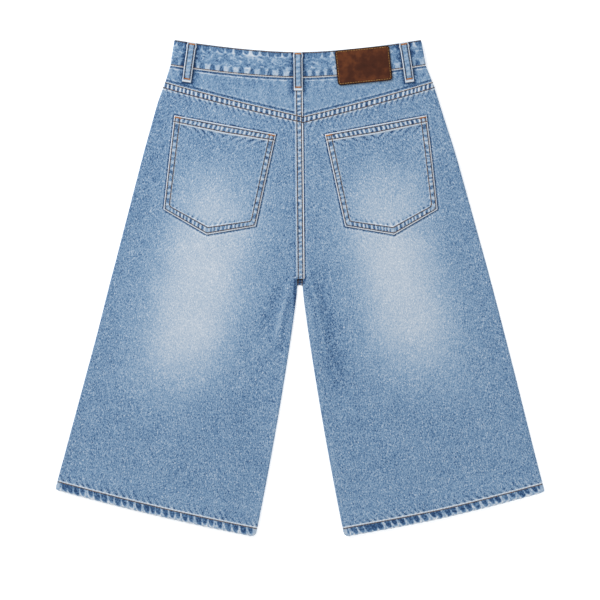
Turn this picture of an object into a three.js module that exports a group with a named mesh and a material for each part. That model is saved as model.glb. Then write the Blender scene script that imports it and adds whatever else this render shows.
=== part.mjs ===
// Long, wide-legged denim shorts, laid flat on a surface with the seat side up.
// Millimetres. +Z is up from the surface, +Y runs from the hems to the waist, and -X is the
// wearer's left. The origin is on the surface, under the middle of the garment.
// Each half is worked out in its own coordinate x, the distance from the centre line towards
// that half's side seam, and then laid to the left or to the right.
import * as THREE from "three";

// Cloth
const PLY = 1.2; // one thickness of washed denim with its nap
const HEM_PLIES = 2.5; // the leg's turned-up hem
const BAND_PLIES = 2.6; // the waistband, folded double
const SEAM_GAP = 0.3; // between pieces that are sewn together

// Waist
const TOP_Y = 384.8; // the waistband's top edge at the side folds
const BACK_DIP = 19.1; // how far that edge dips at the centre back
const FRONT_DIP = 48; // and at the centre front
const BACK_DIP_POWER = 1.65;
const FRONT_DIP_POWER = 1.8;
const BAND_HEIGHT = 40.4;
const WAIST_HALF = 191.3; // half the laid width of the waistband's top edge

// Side seam: a straight line from hip to hem, nipped in a little under the waistband
const HIP_Y = 291.8;
const HIP_HALF = 217;
const SIDE_SLOPE = 0.2695;
const NIP_Y = 350;
const NIP_DEPTH = 4.8;
const NIP_SPREAD = 24;

// Yoke seam: straight from the side seam down to the centre back
const YOKE_SIDE_Y = 319.7;
const YOKE_CENTRE_Y = 267.3;
const FELL_WIDTH = 11.2; // the felled band below the yoke seam
const FELL_HALF = 6.9; // half the felled band down the centre back
const FELL_RAISE = 1.0;
const FELL_STEP = 1.2; // the width over which a felled band falls to the cloth beside it

// Legs
const BACK_CROTCH_Y = 14.3;
const FRONT_CROTCH_Y = 4.3;
const CROTCH_HALF_GAP = 2.6; // half the opening between the legs where it starts
const INSEAM_SLOPE = 0.135;
const INSEAM_BOW = 9e-5;
const CROTCH_EASE = 2.4; // how much further apart the back panels are at the crotch
const CROTCH_EASE_RUN = 18;
const HEM_INNER = { x: 67, y: -386 };
const HEM_OUTER_Y = -312.5;
const HEM_BOW = 3.4;
const HEM_HEIGHT = 12.6;
const HEM_RAISE = 0.4;
const HEM_STEP = 0.9; // the width over which the hem falls to the leg's own ply
const HEM_ROUND = 1.2;
const HEM_ROUND_SHARE = 0.4;
const HEM_CORNER = { outer: 4, inner: 7 };

// The laid seat leans a little to the left of the legs' middle
const LEAN = 3.4;
const LEAN_FROM_Y = 28;

// Heights above the surface. The legs lie on it, and the waist is lifted by its loops and button.
const FRONT_LIFT = 3.0;
const LIFT_RUN = 250;
const BAND_UNDER = 2.3; // the front waistband's underside
const BAND_HOLLOW = 0.6; // between the front and back of the waistband
const BAND_TOP = BAND_UNDER + 2 * BAND_PLIES + BAND_HOLLOW;
const LOFT = { leg: 3.2, edge: 4.4, waist: 4.1, hem: 5.6 }; // both layers and the air between
const EDGE_REACH = 16; // how far in from a seam the layers stay plumped up
const HEM_FLAT = 14; // the hem's loft holds this far up the leg
const HEM_FADE = 42; // and dies away over this much more

// Soft folds that run down the inner thighs from the crotch, a row for each
const FOLDS = [
  { side: -1, x0: 14, y0: 14, x1: 40, y1: -92, height: 1.1, width: 9 },
  { side: -1, x0: 30, y0: 8, x1: 62, y1: -84, height: -0.5, width: 13 },
  { side: 1, x0: 14, y0: 13, x1: 39, y1: -100, height: 1.2, width: 8 },
  { side: 1, x0: 27, y0: 6, x1: 58, y1: -96, height: -0.6, width: 13 },
];

// Back pocket, by the distance of its corners from the line midway between the two pockets, which
// doesn't lean with the seat
const POCKET = {
  outerTop: { x: 195.2, y: 267.4 },
  innerTop: { x: 37.8, y: 238 },
  outerFoot: { x: 212, y: 121.8 },
  point: { x: 145.4, y: 82.6 },
  innerFoot: { x: 69.4, y: 95.6 },
};
const POCKET_MIDDLE_X = 0.6;
const POCKET_HEM = 11.5;
const POCKET_TURNING = 9.5; // the turned-in border round the sides and foot
const POCKET_HEM_RAISE = 1.2;
const POCKET_TURNING_RAISE = 0.7;

// Belt loops, each with its middle line's ends; front ones lie on the front waistband
const LOOP = { width: 13.8, length: 60, ply: 1.6, end: 6, endPly: 2.4, turn: 2, slack: 1.3 };
const LOOPS = [
  { name: "loop_back_centre", x: 0, footX: 0, front: false },
  { name: "loop_back_left", x: -163.6, footX: -172.6, front: false },
  { name: "loop_back_right", x: 163.6, footX: 172.6, front: false },
  { name: "loop_front_left", x: -100, footX: -100, front: true },
  { name: "loop_front_right", x: 100, footX: 100, front: true },
];
const FRONT_LOOP_PLY = 2.0;

// Leather patch
const PATCH = { x: 102, y: 344.6, turn: 5.8 }; // its middle, and how far it is turned, in degrees
const PATCH_SIZE = { width: 83.2, height: 53.2, thick: 1.6, corner: 5, bevel: 0.35 };

// Front
const SCOOP = { topX: 105, footY: 235 };
const FACING = { lap: 8, ply: 1.0, from: 0.05, to: 0.94 };
const FRONT_LAP = 2; // the left front laps this far over the centre
const FLY = { width: 38, length: 150, ply: 1.0, curve: 34 };
const BUTTON = { radius: 8.5, thick: 2.0, rim: 0.5 };
const BAND_SLIT_X = 14; // where the waistband's two ends meet

// Colours
const denim = new THREE.MeshStandardMaterial({ color: 0x7d9cc0, roughness: 0.95, metalness: 0 });
const seatDenim = new THREE.MeshStandardMaterial({ color: 0x88a5c6, roughness: 0.95, metalness: 0 });
const leather = new THREE.MeshStandardMaterial({ color: 0x4c2a1b, roughness: 0.7, metalness: 0 });
const copper = new THREE.MeshStandardMaterial({ color: 0x9a6a45, roughness: 0.4, metalness: 0.9 });

const lerp = THREE.MathUtils.lerp;
const smooth = (t) => THREE.MathUtils.smoothstep(t, 0, 1);
const UP = new THREE.Vector3(0, 0, 1);

// Outline of one half

const sideHalf = (y) =>
  HIP_HALF + SIDE_SLOPE * (HIP_Y - y) - NIP_DEPTH * Math.exp(-(((y - NIP_Y) / NIP_SPREAD) ** 2));

const inseamHalf = (y) => {
  const down = Math.max(0, FRONT_CROTCH_Y - y);
  return CROTCH_HALF_GAP + INSEAM_SLOPE * down + INSEAM_BOW * down * down;
};

const backInseamHalf = (y) => inseamHalf(y) + CROTCH_EASE * Math.exp((y - BACK_CROTCH_Y) / CROTCH_EASE_RUN);

// The waistband's edges dip towards the centre, more at the front than at the back. share is 0 at
// the centre and 1 at the side fold.
const FOOT_HALF = sideHalf(TOP_Y - BAND_HEIGHT);
const backDip = (share) => BACK_DIP * (1 - Math.min(1, Math.abs(share)) ** BACK_DIP_POWER);
const frontDip = (share) => FRONT_DIP * (1 - Math.min(1, Math.abs(share)) ** FRONT_DIP_POWER);
const backBandTop = (x) => TOP_Y - backDip(x / WAIST_HALF);
const frontBandTop = (x) => TOP_Y - frontDip(x / WAIST_HALF);
const backBandFoot = (x) => TOP_Y - BAND_HEIGHT - backDip(x / FOOT_HALF);
const frontBandFoot = (x) => TOP_Y - BAND_HEIGHT - frontDip(x / FOOT_HALF);

// The left half's centre-back edge laps over the centre, and the right half's stops beside it
const centreBackX = (side) => (side < 0 ? -FELL_HALF : FELL_HALF + SEAM_GAP);

function yokeSeamY(side, x) {
  const centreX = centreBackX(side);
  return lerp(YOKE_CENTRE_Y, YOKE_SIDE_Y, (x - centreX) / (sideHalf(YOKE_SIDE_Y) - centreX));
}

// Distance from a place to the side seam, measured square to it
const SIDE_COS = 1 / Math.hypot(1, SIDE_SLOPE);
const fromSide = (x, y) => (sideHalf(y) - x) * SIDE_COS;

// Heights

const lift = (y) => FRONT_LIFT * smooth(y / LIFT_RUN);

// Both layers with the air between, at a distance from the hem and from the nearest rolled seam
function loft(y, fromHem, fromEdge) {
  const waist = smooth(y / backBandFoot(0));
  const middle = lerp(LOFT.leg, LOFT.waist, waist);
  const edge = lerp(LOFT.edge, LOFT.waist, waist);
  const body = lerp(middle, edge, Math.exp(-((fromEdge / EDGE_REACH) ** 2)));
  return lerp(body, LOFT.hem, smooth((HEM_FLAT + HEM_FADE - fromHem) / HEM_FADE));
}

function foldHeight(side, x, y) {
  let height = 0;
  for (const fold of FOLDS) {
    if (fold.side !== side) continue;
    const along = { x: fold.x1 - fold.x0, y: fold.y1 - fold.y0 };
    const length = Math.hypot(along.x, along.y);
    const t = ((x - fold.x0) * along.x + (y - fold.y0) * along.y) / length ** 2;
    if (t <= 0 || t >= 1) continue;
    const across = ((x - fold.x0) * along.y - (y - fold.y0) * along.x) / length;
    height += fold.height * Math.sin(Math.PI * t) * Math.exp(-((across / fold.width) ** 2));
  }
  return height;
}

const backTop = (side, x, y, fromHem = Infinity, fromEdge = fromSide(x, y)) =>
  lift(y) + loft(y, fromHem, fromEdge) + foldHeight(side, x, y);

// Building closed walls

const leanAt = (y) => LEAN * THREE.MathUtils.clamp((y - LEAN_FROM_Y) / (TOP_Y - LEAN_FROM_Y), 0, 1);

// Lays a point of one half on its side of the garment
const lay = (side, x, y, z) => new THREE.Vector3(side * x - leanAt(y), y, z);

// Distances along a line: the head's, then even steps, then the tail's, which count back from its end
function stations(length, head, steps, tail) {
  const from = head[head.length - 1];
  const to = length - tail[tail.length - 1];
  const middle = Array.from({ length: steps - 1 }, (_, i) => lerp(from, to, (i + 1) / steps));
  return [...head, ...middle, ...tail.map((t) => length - t).reverse()];
}

// The insets at which a rolled seam's edge is sampled, for a roll of this radius
const ROLL_TURNS = [90, 60, 30, 0].map(THREE.MathUtils.degToRad);
const rollInsets = (radius) => ROLL_TURNS.map((turn) => radius * (1 - Math.sin(turn)));

// An outer and an inner point of a wall whose edge rolls towards the other layer.
// up is 1 for the upper layer and -1 for the lower; inset is the distance in from the rolled edge,
// and way points out of that edge.
function wallPoint(side, x, y, z, ply, up, inset, radius, way) {
  const turn = inset < radius ? Math.asin(1 - inset / radius) : 0;
  const drop = radius * (1 - Math.cos(turn));
  const normal = { x: way.x * Math.sin(turn), y: way.y * Math.sin(turn), z: up * Math.cos(turn) };
  const outerZ = z - up * drop;
  return {
    outer: lay(side, x, y, outerZ),
    inner: lay(side, x - ply * normal.x, y - ply * normal.y, outerZ - ply * normal.z),
  };
}

// Makes a geometry from points and quads, with its faces turned outwards
function closedGeometry(points, quads) {
  const index = quads.flatMap(([a, b, c, d]) => [a, b, c, a, c, d]);
  let volume = 0;
  for (let i = 0; i < index.length; i += 3) {
    const [a, b, c] = [points[index[i]], points[index[i + 1]], points[index[i + 2]]];
    volume += a.dot(b.clone().cross(c));
  }
  if (volume < 0) index.reverse();
  return new THREE.BufferGeometry().setFromPoints(points).setIndex(index);
}

// A wall from rows of { outer, inner } points, closed round its rim
function sheetGeometry(rows) {
  const columns = rows[0].length;
  const count = rows.length * columns;
  const points = [...rows.flat().map((p) => p.outer), ...rows.flat().map((p) => p.inner)];
  const at = (i, j) => i * columns + j;
  const quads = [];
  for (let i = 0; i + 1 < rows.length; i++) {
    for (let j = 0; j + 1 < columns; j++) {
      const face = [at(i, j), at(i, j + 1), at(i + 1, j + 1), at(i + 1, j)];
      quads.push(face, [...face].reverse().map((k) => k + count));
    }
  }
  const rim = [];
  for (let j = 0; j + 1 < columns; j++) rim.push(at(0, j));
  for (let i = 0; i + 1 < rows.length; i++) rim.push(at(i, columns - 1));
  for (let j = columns - 1; j > 0; j--) rim.push(at(rows.length - 1, j));
  for (let i = rows.length - 1; i > 0; i--) rim.push(at(i, 0));
  rim.forEach((a, k) => {
    const b = rim[(k + 1) % rim.length];
    quads.push([b, a, a + count, b + count]);
  });
  return closedGeometry(points, quads);
}

// A bar from rings of points, closed at both ends; each ring has an even number of points
function barGeometry(rings) {
  const size = rings[0].length;
  const quads = [];
  for (let i = 0; i + 1 < rings.length; i++) {
    for (let j = 0; j < size; j++) {
      const next = (j + 1) % size;
      quads.push([i * size + j, i * size + next, (i + 1) * size + next, (i + 1) * size + j]);
    }
  }
  const last = (rings.length - 1) * size;
  for (let j = 0; j + 1 < size / 2; j++) {
    const cap = [j, size - 1 - j, size - 2 - j, j + 1];
    quads.push(cap, [...cap].reverse().map((k) => k + last));
  }
  return closedGeometry(rings.flat(), quads);
}

function named(name, geometry, material) {
  const mesh = new THREE.Mesh(geometry, material);
  mesh.name = name;
  return mesh;
}

const sideName = (side) => (side < 0 ? "left" : "right");

// Legs: rows run square across the leg from the side seam to the centre seam or inseam

const SIDE_WAY = { x: SIDE_COS, y: SIDE_COS * SIDE_SLOPE };
const INSEAM_WAY = { x: -SIDE_COS, y: 0 };

const hemLift = (t) => -HEM_BOW * 4 * t * (1 - t);

// How far a row stops short of a seam where the hem's corner is rounded
function cornerTrim(fromHem, radius) {
  if (fromHem >= radius) return 0;
  return radius - Math.sqrt(radius ** 2 - (radius - fromHem) ** 2);
}

// The share of a hem's wall that is rounded away from each side at its folded edge
function hemRounding(fromHem) {
  if (fromHem >= HEM_ROUND) return 0;
  return HEM_ROUND_SHARE * (1 - Math.sqrt(1 - (1 - fromHem / HEM_ROUND) ** 2));
}

// The leg's rows, from the top edge to the hem. top is where the panel starts on the side seam
// and on the centre line, and centreX is its edge there.
function legRows(top, centreX, crotchY, inseamAt, seatHead, seatSteps, legHead, legSteps) {
  const seat = top.centreY - crotchY;
  const leg = Math.hypot(crotchY - HEM_INNER.y, HEM_INNER.x - inseamAt(crotchY));
  const total = seat + leg;
  const distances = [
    ...stations(seat, seatHead, seatSteps, [0]),
    ...stations(total, legHead.map((d) => seat + d), legSteps, HEM_TAIL),
  ];
  return distances.map((distance) => {
    const t = distance / total;
    const onLeg = distance > seat;
    const legT = onLeg ? (distance - seat) / leg : 0;
    const sideY = lerp(top.sideY, HEM_OUTER_Y, t);
    const innerY = onLeg ? lerp(crotchY, HEM_INNER.y, legT) : top.centreY - distance;
    return {
      fromTop: distance,
      fromHem: total - distance,
      t,
      onLeg,
      outerEnd: { x: sideHalf(sideY), y: sideY },
      innerEnd: { x: onLeg ? inseamAt(innerY) : centreX, y: innerY },
    };
  });
}

// One row's points. place moves a straight row's point, and skin says how high and thick the wall is.
function legRow(side, up, row, edgeInsets, innerInsets, steps, place, skin) {
  const trim = {
    outer: cornerTrim(row.fromHem, HEM_CORNER.outer),
    inner: cornerTrim(row.fromHem, HEM_CORNER.inner),
  };
  const span = { x: row.innerEnd.x - row.outerEnd.x, y: row.innerEnd.y - row.outerEnd.y };
  const length = Math.hypot(span.x, span.y);
  const usable = length - trim.outer - trim.inner;
  const radius = loft(row.innerEnd.y, row.fromHem, 0) / 2 - SEAM_GAP / 2;
  const head = [...rollInsets(radius), ...edgeInsets];
  const tail = [...rollInsets(radius), ...innerInsets];
  return stations(usable, head, steps, tail).map((distance) => {
    const t = (distance + trim.outer) / length;
    const { x, y } = place(row.outerEnd.x + span.x * t, row.outerEnd.y + span.y * t, t, row);
    const toInner = row.onLeg ? usable - distance : Infinity;
    const fromEdge = Math.min(distance, toInner);
    const { z, ply } = skin(x, y, row, fromEdge);
    const way = distance <= toInner ? SIDE_WAY : INSEAM_WAY;
    const point = wallPoint(side, x, y, z, ply, up, fromEdge, radius, way);
    const rounding = hemRounding(row.fromHem);
    return {
      outer: point.outer.clone().lerp(point.inner, rounding),
      inner: point.inner.clone().lerp(point.outer, rounding),
    };
  });
}

const hemPlace = (x, y, t, row) => ({ x, y: y + hemLift(t) * row.t ** 4 });

const inHem = (row) => row.fromHem < HEM_HEIGHT + HEM_STEP / 2;
const legPly = (row) => (inHem(row) ? HEM_PLIES : PLY);

// Distances up from the folded edge: round the fold, up the hem, over its step and up the leg
const HEM_TAIL = [0, 0.3, HEM_ROUND, HEM_HEIGHT / 2, HEM_HEIGHT, HEM_HEIGHT + HEM_STEP, 30, HEM_FLAT + HEM_FADE];

// Felled bands

const centreFell = (side, x) => (side < 0 ? smooth((FELL_HALF + FELL_STEP - x) / FELL_STEP) : 0);
const yokeFell = (fromTop) => smooth((FELL_WIDTH + FELL_STEP - fromTop) / FELL_STEP);
const fellRaise = (a, b) => FELL_RAISE * (Math.max(a, b) + 0.4 * Math.min(a, b));

function backPanel(side) {
  const top = { sideY: YOKE_SIDE_Y, centreY: YOKE_CENTRE_Y };
  const seatHead = [0, FELL_WIDTH, FELL_WIDTH + FELL_STEP, 30];
  const legHead = [1.5, 12, 28];
  const rows = legRows(top, centreBackX(side), BACK_CROTCH_Y, backInseamHalf, seatHead, 5, legHead, 9);
  const innerInsets = [2 * FELL_HALF, 2 * FELL_HALF + FELL_STEP, 22, 30, 42];
  const skin = (x, y, row, fromEdge) => {
    const bands = row.onLeg ? 0 : fellRaise(centreFell(side, x), yokeFell(row.fromTop));
    const hem = inHem(row) ? HEM_RAISE : 0;
    return {
      z: backTop(side, x, y, row.fromHem, Math.min(fromEdge, fromSide(x, y))) + bands + hem,
      ply: legPly(row) + bands + hem,
    };
  };
  return sheetGeometry(rows.map((row) => legRow(side, 1, row, [9, 20], innerInsets, 5, hemPlace, skin)));
}

// The yoke, between the waistband's foot and the yoke seam
function yoke(side) {
  const centreX = centreBackX(side);
  const radius = loft(YOKE_SIDE_Y, Infinity, 0) / 2 - SEAM_GAP / 2;
  const rows = [0, 0.3, 0.65, 1].map((t) => {
    const sideY = lerp(backBandFoot(WAIST_HALF) - SEAM_GAP, YOKE_SIDE_Y + SEAM_GAP, t);
    const width = sideHalf(sideY) - centreX;
    const fell = [0, 2 * FELL_HALF, 2 * FELL_HALF + FELL_STEP];
    const insets = stations(width, [...rollInsets(radius), 12], 9, fell);
    return insets.map((inset) => {
      const x = sideHalf(sideY) - inset;
      const y = lerp(backBandFoot(x) - SEAM_GAP, yokeSeamY(side, x) + SEAM_GAP, t);
      const band = fellRaise(centreFell(side, x), 0);
      return wallPoint(side, x, y, backTop(side, x, y) + band, PLY + band, 1, inset, radius, SIDE_WAY);
    });
  });
  return sheetGeometry(rows);
}

// Waistband: a strip folded double that runs round the waist, from its right end at the centre
// front, over the right fold, across the back and round to its left end

function waistband() {
  const half = BAND_PLIES / 2;
  const round = 0.9;
  const section = [
    { h: 0, n: -half + round },
    { h: round, n: -half },
    { h: BAND_HEIGHT - round, n: -half },
    { h: BAND_HEIGHT, n: -half + round },
    { h: BAND_HEIGHT, n: half - round },
    { h: BAND_HEIGHT - round, n: half },
    { h: round, n: half },
    { h: 0, n: half - round },
  ];
  const foldRadius = (BAND_HOLLOW + BAND_PLIES) / 2;
  const middleZ = BAND_UNDER + BAND_PLIES + BAND_HOLLOW / 2;
  const inset = foldRadius + half;
  // A section's points, where across is -1 to 1 from fold to fold and turn is the fold's angle:
  // 0 on the underside and 180 degrees on the upper side
  const ring = (across, turn, footAt = backBandFoot) => {
    const footX = across * (FOOT_HALF - inset);
    const topX = across * (WAIST_HALF - inset);
    const outward = Math.sign(across) * Math.sin(turn);
    const footY = footAt(footX + outward * foldRadius);
    return section.map(({ h, n }) => {
      const reach = foldRadius + n;
      const x = lerp(footX, topX, h / BAND_HEIGHT) + outward * reach;
      return lay(1, x, footY + h, middleZ - reach * Math.cos(turn));
    });
  };
  const frontSteps = 14;
  const backSteps = 26;
  const foldSteps = 5;
  const frontFrom = (x) => x / (FOOT_HALF - inset);
  const count = (steps, make) => Array.from({ length: steps + 1 }, (_, i) => make(i / steps));
  const turnAt = (t) => Math.PI * t;
  const rings = [
    ...count(frontSteps, (t) => ring(lerp(frontFrom(BAND_SLIT_X + SEAM_GAP), 1, t), 0, frontBandFoot)),
    ...count(foldSteps, (t) => ring(1, turnAt(t))).slice(1, -1),
    ...count(backSteps, (t) => ring(lerp(1, -1, t), Math.PI)),
    ...count(foldSteps, (t) => ring(-1, turnAt(1 - t))).slice(1, -1),
    ...count(frontSteps, (t) => ring(lerp(-1, frontFrom(BAND_SLIT_X), t), 0, frontBandFoot)),
  ];
  return barGeometry(rings);
}

// Back pocket: its own ply, lifted round its border by what is turned in underneath

function backPocket(side) {
  const { outerTop, innerTop, outerFoot, point, innerFoot } = POCKET;
  const outerLength = Math.hypot(point.x - outerFoot.x, point.y - outerFoot.y);
  const innerLength = Math.hypot(point.x - innerFoot.x, point.y - innerFoot.y);
  const kink = outerLength / (outerLength + innerLength);
  const border = [0, 0.5, POCKET_TURNING, POCKET_TURNING + FELL_STEP];
  const width = Math.hypot(outerTop.x - innerTop.x, outerTop.y - innerTop.y);
  const height = Math.hypot(outerTop.x - outerFoot.x, outerTop.y - outerFoot.y);
  const across = [
    ...stations(width * kink, border, 2, [0]),
    ...stations(width, [width * kink], 2, border).slice(1),
  ];
  const down = stations(height, [0, 0.5, POCKET_HEM, POCKET_HEM + FELL_STEP], 4, border);
  const rows = down.map((fromTop) => {
    const t = fromTop / height;
    return across.map((distance) => {
      const u = distance / width;
      const top = { x: lerp(outerTop.x, innerTop.x, u), y: lerp(outerTop.y, innerTop.y, u) };
      const [a, b, k] = u < kink ? [outerFoot, point, u / kink] : [point, innerFoot, (u - kink) / (1 - kink)];
      const y = lerp(top.y, lerp(a.y, b.y, k), t);
      const x = lerp(top.x, lerp(a.x, b.x, k), t) + side * (leanAt(y) + POCKET_MIDDLE_X);
      const inFromEdge = Math.min(distance, width - distance, height - fromTop);
      const turning = POCKET_TURNING_RAISE * smooth((POCKET_TURNING + FELL_STEP - inFromEdge) / FELL_STEP);
      const hem = POCKET_HEM_RAISE * smooth((POCKET_HEM + FELL_STEP - fromTop) / FELL_STEP);
      const under = backTop(side, x, y) + SEAM_GAP;
      const over = under + PLY + Math.max(turning, hem);
      return { outer: lay(side, x, y, over), inner: lay(side, x, y, under) };
    });
  });
  return sheetGeometry(rows);
}

// Belt loops: a narrow strip with its ends turned under, slack in between

const LOOP_EDGE = 0.5;

function loopRing(centre, along, under, ply) {
  const half = LOOP.width / 2;
  const profile = [
    { a: -half + LOOP_EDGE, z: 0 },
    { a: half - LOOP_EDGE, z: 0 },
    { a: half, z: LOOP_EDGE },
    { a: half, z: ply - LOOP_EDGE },
    { a: half - LOOP_EDGE, z: ply },
    { a: -half + LOOP_EDGE, z: ply },
    { a: -half, z: ply - LOOP_EDGE },
    { a: -half, z: LOOP_EDGE },
  ];
  const side = Math.sign(along.x) || 1;
  return profile.map(({ a, z }) =>
    lay(1, centre.x + a * Math.abs(along.y), centre.y - a * side * Math.abs(along.x), under + z),
  );
}

function beltLoop({ x, footX, front }) {
  const { length, end, endPly, ply } = LOOP;
  const topY = (front ? frontBandTop : backBandTop)(x);
  const along = { x: (footX - x) / length, y: -Math.sqrt(1 - ((footX - x) / length) ** 2) };
  const centreAt = (distance) => ({ x: x + along.x * distance, y: topY + along.y * distance });
  const tilt = { x: -along.x, y: along.y };
  if (front) {
    const places = stations(length, [0], 4, [0]).map(centreAt);
    return barGeometry(places.map((centre) => loopRing(centre, tilt, 0, FRONT_LOOP_PLY)));
  }
  const foot = centreAt(length);
  const footTop = backTop(1, Math.abs(foot.x), foot.y) + (x === 0 ? FELL_RAISE : 0);
  const bandSpan = BAND_HEIGHT + 3;
  const ends = [0, end, end + LOOP.turn];
  const rings = stations(length, ends, 8, ends).map((distance) => {
    const ground = lerp(BAND_TOP, footTop, smooth((distance - bandSpan) / (length - end - bandSpan)));
    const free = Math.min(distance, length - distance) - end;
    const slack = LOOP.slack * Math.sin((Math.PI * Math.max(0, free)) / (length - 2 * end));
    const turned = (endPly - ply) * smooth(free / LOOP.turn);
    const under = ground + SEAM_GAP + turned + slack;
    return loopRing(centreAt(distance), tilt, under, free <= 0 ? endPly : ply);
  });
  return barGeometry(rings);
}

// Leather patch

function patch() {
  const { bevel, thick } = PATCH_SIZE;
  const w = PATCH_SIZE.width / 2 - bevel;
  const h = PATCH_SIZE.height / 2 - bevel;
  const r = PATCH_SIZE.corner - bevel;
  const outline = new THREE.Shape();
  outline.moveTo(-w + r, -h);
  outline.lineTo(w - r, -h).absarc(w - r, -h + r, r, -Math.PI / 2, 0);
  outline.lineTo(w, h - r).absarc(w - r, h - r, r, 0, Math.PI / 2);
  outline.lineTo(-w + r, h).absarc(-w + r, h - r, r, Math.PI / 2, Math.PI);
  outline.lineTo(-w, -h + r).absarc(-w + r, -h + r, r, Math.PI, 1.5 * Math.PI);
  const geometry = new THREE.ExtrudeGeometry(outline, {
    depth: thick - 2 * bevel,
    bevelThickness: bevel,
    bevelSize: bevel,
    bevelSegments: 1,
    curveSegments: 5,
  });
  const mesh = named("patch", geometry, leather);
  mesh.position.copy(lay(1, PATCH.x, PATCH.y, BAND_TOP + SEAM_GAP + bevel));
  mesh.rotation.z = THREE.MathUtils.degToRad(PATCH.turn);
  return mesh;
}

// Front, face down on the surface

const frontEdgeX = (side) => (side < 0 ? -FRONT_LAP : FRONT_LAP + SEAM_GAP);

// The scooped pocket mouth: a quarter ellipse from the waistband's foot to the side seam, or a curve
// that laps this far past it
function scoopPoint(t, lap = 0) {
  const turn = (Math.PI / 2) * t;
  const corner = { x: sideHalf(SCOOP.footY), y: frontBandFoot(SCOOP.topX) - SEAM_GAP };
  return {
    x: corner.x - (corner.x - SCOOP.topX + lap) * Math.cos(turn),
    y: corner.y - (corner.y - SCOOP.footY + lap) * Math.sin(turn),
  };
}

function frontPanel(side) {
  const top = { sideY: SCOOP.footY, centreY: frontBandFoot(0) - SEAM_GAP };
  const scoopShare = 0.55; // of a row's width that lies below the pocket mouth
  const fade = 210; // how far down the panel the mouth's curve dies away
  const rows = legRows(top, frontEdgeX(side), FRONT_CROTCH_Y, inseamHalf, [0, 25, 60], 4, [1.5, 16], 7);
  const first = rows[0];
  const mouth = (u) => {
    if (u < scoopShare) return scoopPoint(1 - u / scoopShare);
    const x = lerp(SCOOP.topX, first.innerEnd.x, (u - scoopShare) / (1 - scoopShare));
    return { x, y: frontBandFoot(x) - SEAM_GAP };
  };
  const place = (x, y, t, row) => {
    const target = mouth(t);
    const pull = (1 - smooth(row.fromTop / fade)) * (row.onLeg ? 0 : 1);
    const straight = {
      x: lerp(first.outerEnd.x, first.innerEnd.x, t),
      y: lerp(first.outerEnd.y, first.innerEnd.y, t),
    };
    const hemmed = hemPlace(x, y, t, row);
    return { x: hemmed.x + pull * (target.x - straight.x), y: hemmed.y + pull * (target.y - straight.y) };
  };
  const skin = (x, y, row) => ({ z: lift(y), ply: legPly(row) });
  return sheetGeometry(rows.map((row) => legRow(side, -1, row, [20], [20], 8, place, skin)));
}

// The facing is level with the front panel at the side seam, and goes in behind it at the mouth
function pocketFacing(side) {
  const radius = loft(SCOOP.footY, Infinity, 0) / 2 - SEAM_GAP / 2;
  const behind = PLY + SEAM_GAP;
  const sideTop = frontBandFoot(FOOT_HALF) - SEAM_GAP;
  const cornerShare = 0.55; // of the facing's long edge that lies on the side seam
  const cornerPoint = (t) => {
    if (t < cornerShare) {
      const y = lerp(SCOOP.footY, sideTop, t / cornerShare);
      return { x: sideHalf(y), y };
    }
    const x = lerp(sideHalf(sideTop), SCOOP.topX, (t - cornerShare) / (1 - cornerShare));
    return { x, y: frontBandFoot(x) - SEAM_GAP };
  };
  const steps = 17;
  const rows = Array.from({ length: steps + 1 }, (_, i) => {
    const t = lerp(FACING.from, FACING.to, i / steps);
    const outer = cornerPoint(t);
    const inner = scoopPoint(1 - t, FACING.lap);
    const length = Math.hypot(outer.x - inner.x, outer.y - inner.y);
    const slope = length - FACING.lap - 2 * radius;
    const head = [...rollInsets(radius), radius + slope / 2];
    return stations(length, head, 1, [0, FACING.lap]).map((distance) => {
      const x = lerp(outer.x, inner.x, distance / length);
      const y = lerp(outer.y, inner.y, distance / length);
      const inset = Math.max(0, fromSide(x, y));
      const z = lift(y) + behind * smooth((distance - radius) / slope);
      return wallPoint(side, x, y, z, FACING.ply, -1, inset, radius, SIDE_WAY);
    });
  });
  return sheetGeometry(rows);
}

// The fly is sewn to the left front: straight down the centre, and curved back to it at its foot
function fly() {
  const topY = frontBandFoot(0) - 2 * SEAM_GAP;
  const rows = stations(FLY.length, [0], 9, [0]).map((down) => {
    const y = topY - down;
    const intoCurve = Math.max(0, down - (FLY.length - FLY.curve)) / FLY.curve;
    const width = FLY.width * Math.sqrt(Math.max(0.02, 1 - intoCurve ** 2));
    return [0, 0.25, 0.5, 0.75, 1].map((u) => {
      const x = lerp(-FRONT_LAP, width, u);
      const over = lift(y) - SEAM_GAP;
      return { outer: lay(-1, x, y, over - FLY.ply), inner: lay(-1, x, y, over) };
    });
  });
  return sheetGeometry(rows);
}

function waistButton() {
  const { radius, thick, rim } = BUTTON;
  const profile = [
    new THREE.Vector2(0, 0),
    new THREE.Vector2(radius - rim, 0),
    new THREE.Vector2(radius, rim),
    new THREE.Vector2(radius, thick - rim),
    new THREE.Vector2(radius - rim, thick),
    new THREE.Vector2(0, thick),
  ];
  const geometry = new THREE.LatheGeometry(profile, 24).applyMatrix4(
    new THREE.Matrix4().makeBasis(new THREE.Vector3(1, 0, 0), UP, new THREE.Vector3(0, -1, 0)),
  );
  const mesh = named("waist_button", geometry, copper);
  mesh.position.copy(lay(1, 0, frontBandTop(0) - BAND_HEIGHT / 2, 0));
  return mesh;
}

const shorts = new THREE.Group();
shorts.name = "denim_shorts";
for (const side of [-1, 1]) {
  shorts.add(named(`front_${sideName(side)}`, frontPanel(side), denim));
  shorts.add(named(`pocket_facing_${sideName(side)}`, pocketFacing(side), denim));
  shorts.add(named(`back_${sideName(side)}`, backPanel(side), seatDenim));
  shorts.add(named(`yoke_${sideName(side)}`, yoke(side), denim));
  shorts.add(named(`back_pocket_${sideName(side)}`, backPocket(side), seatDenim));
}
shorts.add(named("waistband", waistband(), denim));
for (const loop of LOOPS) shorts.add(named(loop.name, beltLoop(loop), denim));
shorts.add(patch());
shorts.add(named("fly", fly(), denim));
shorts.add(waistButton());

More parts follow.
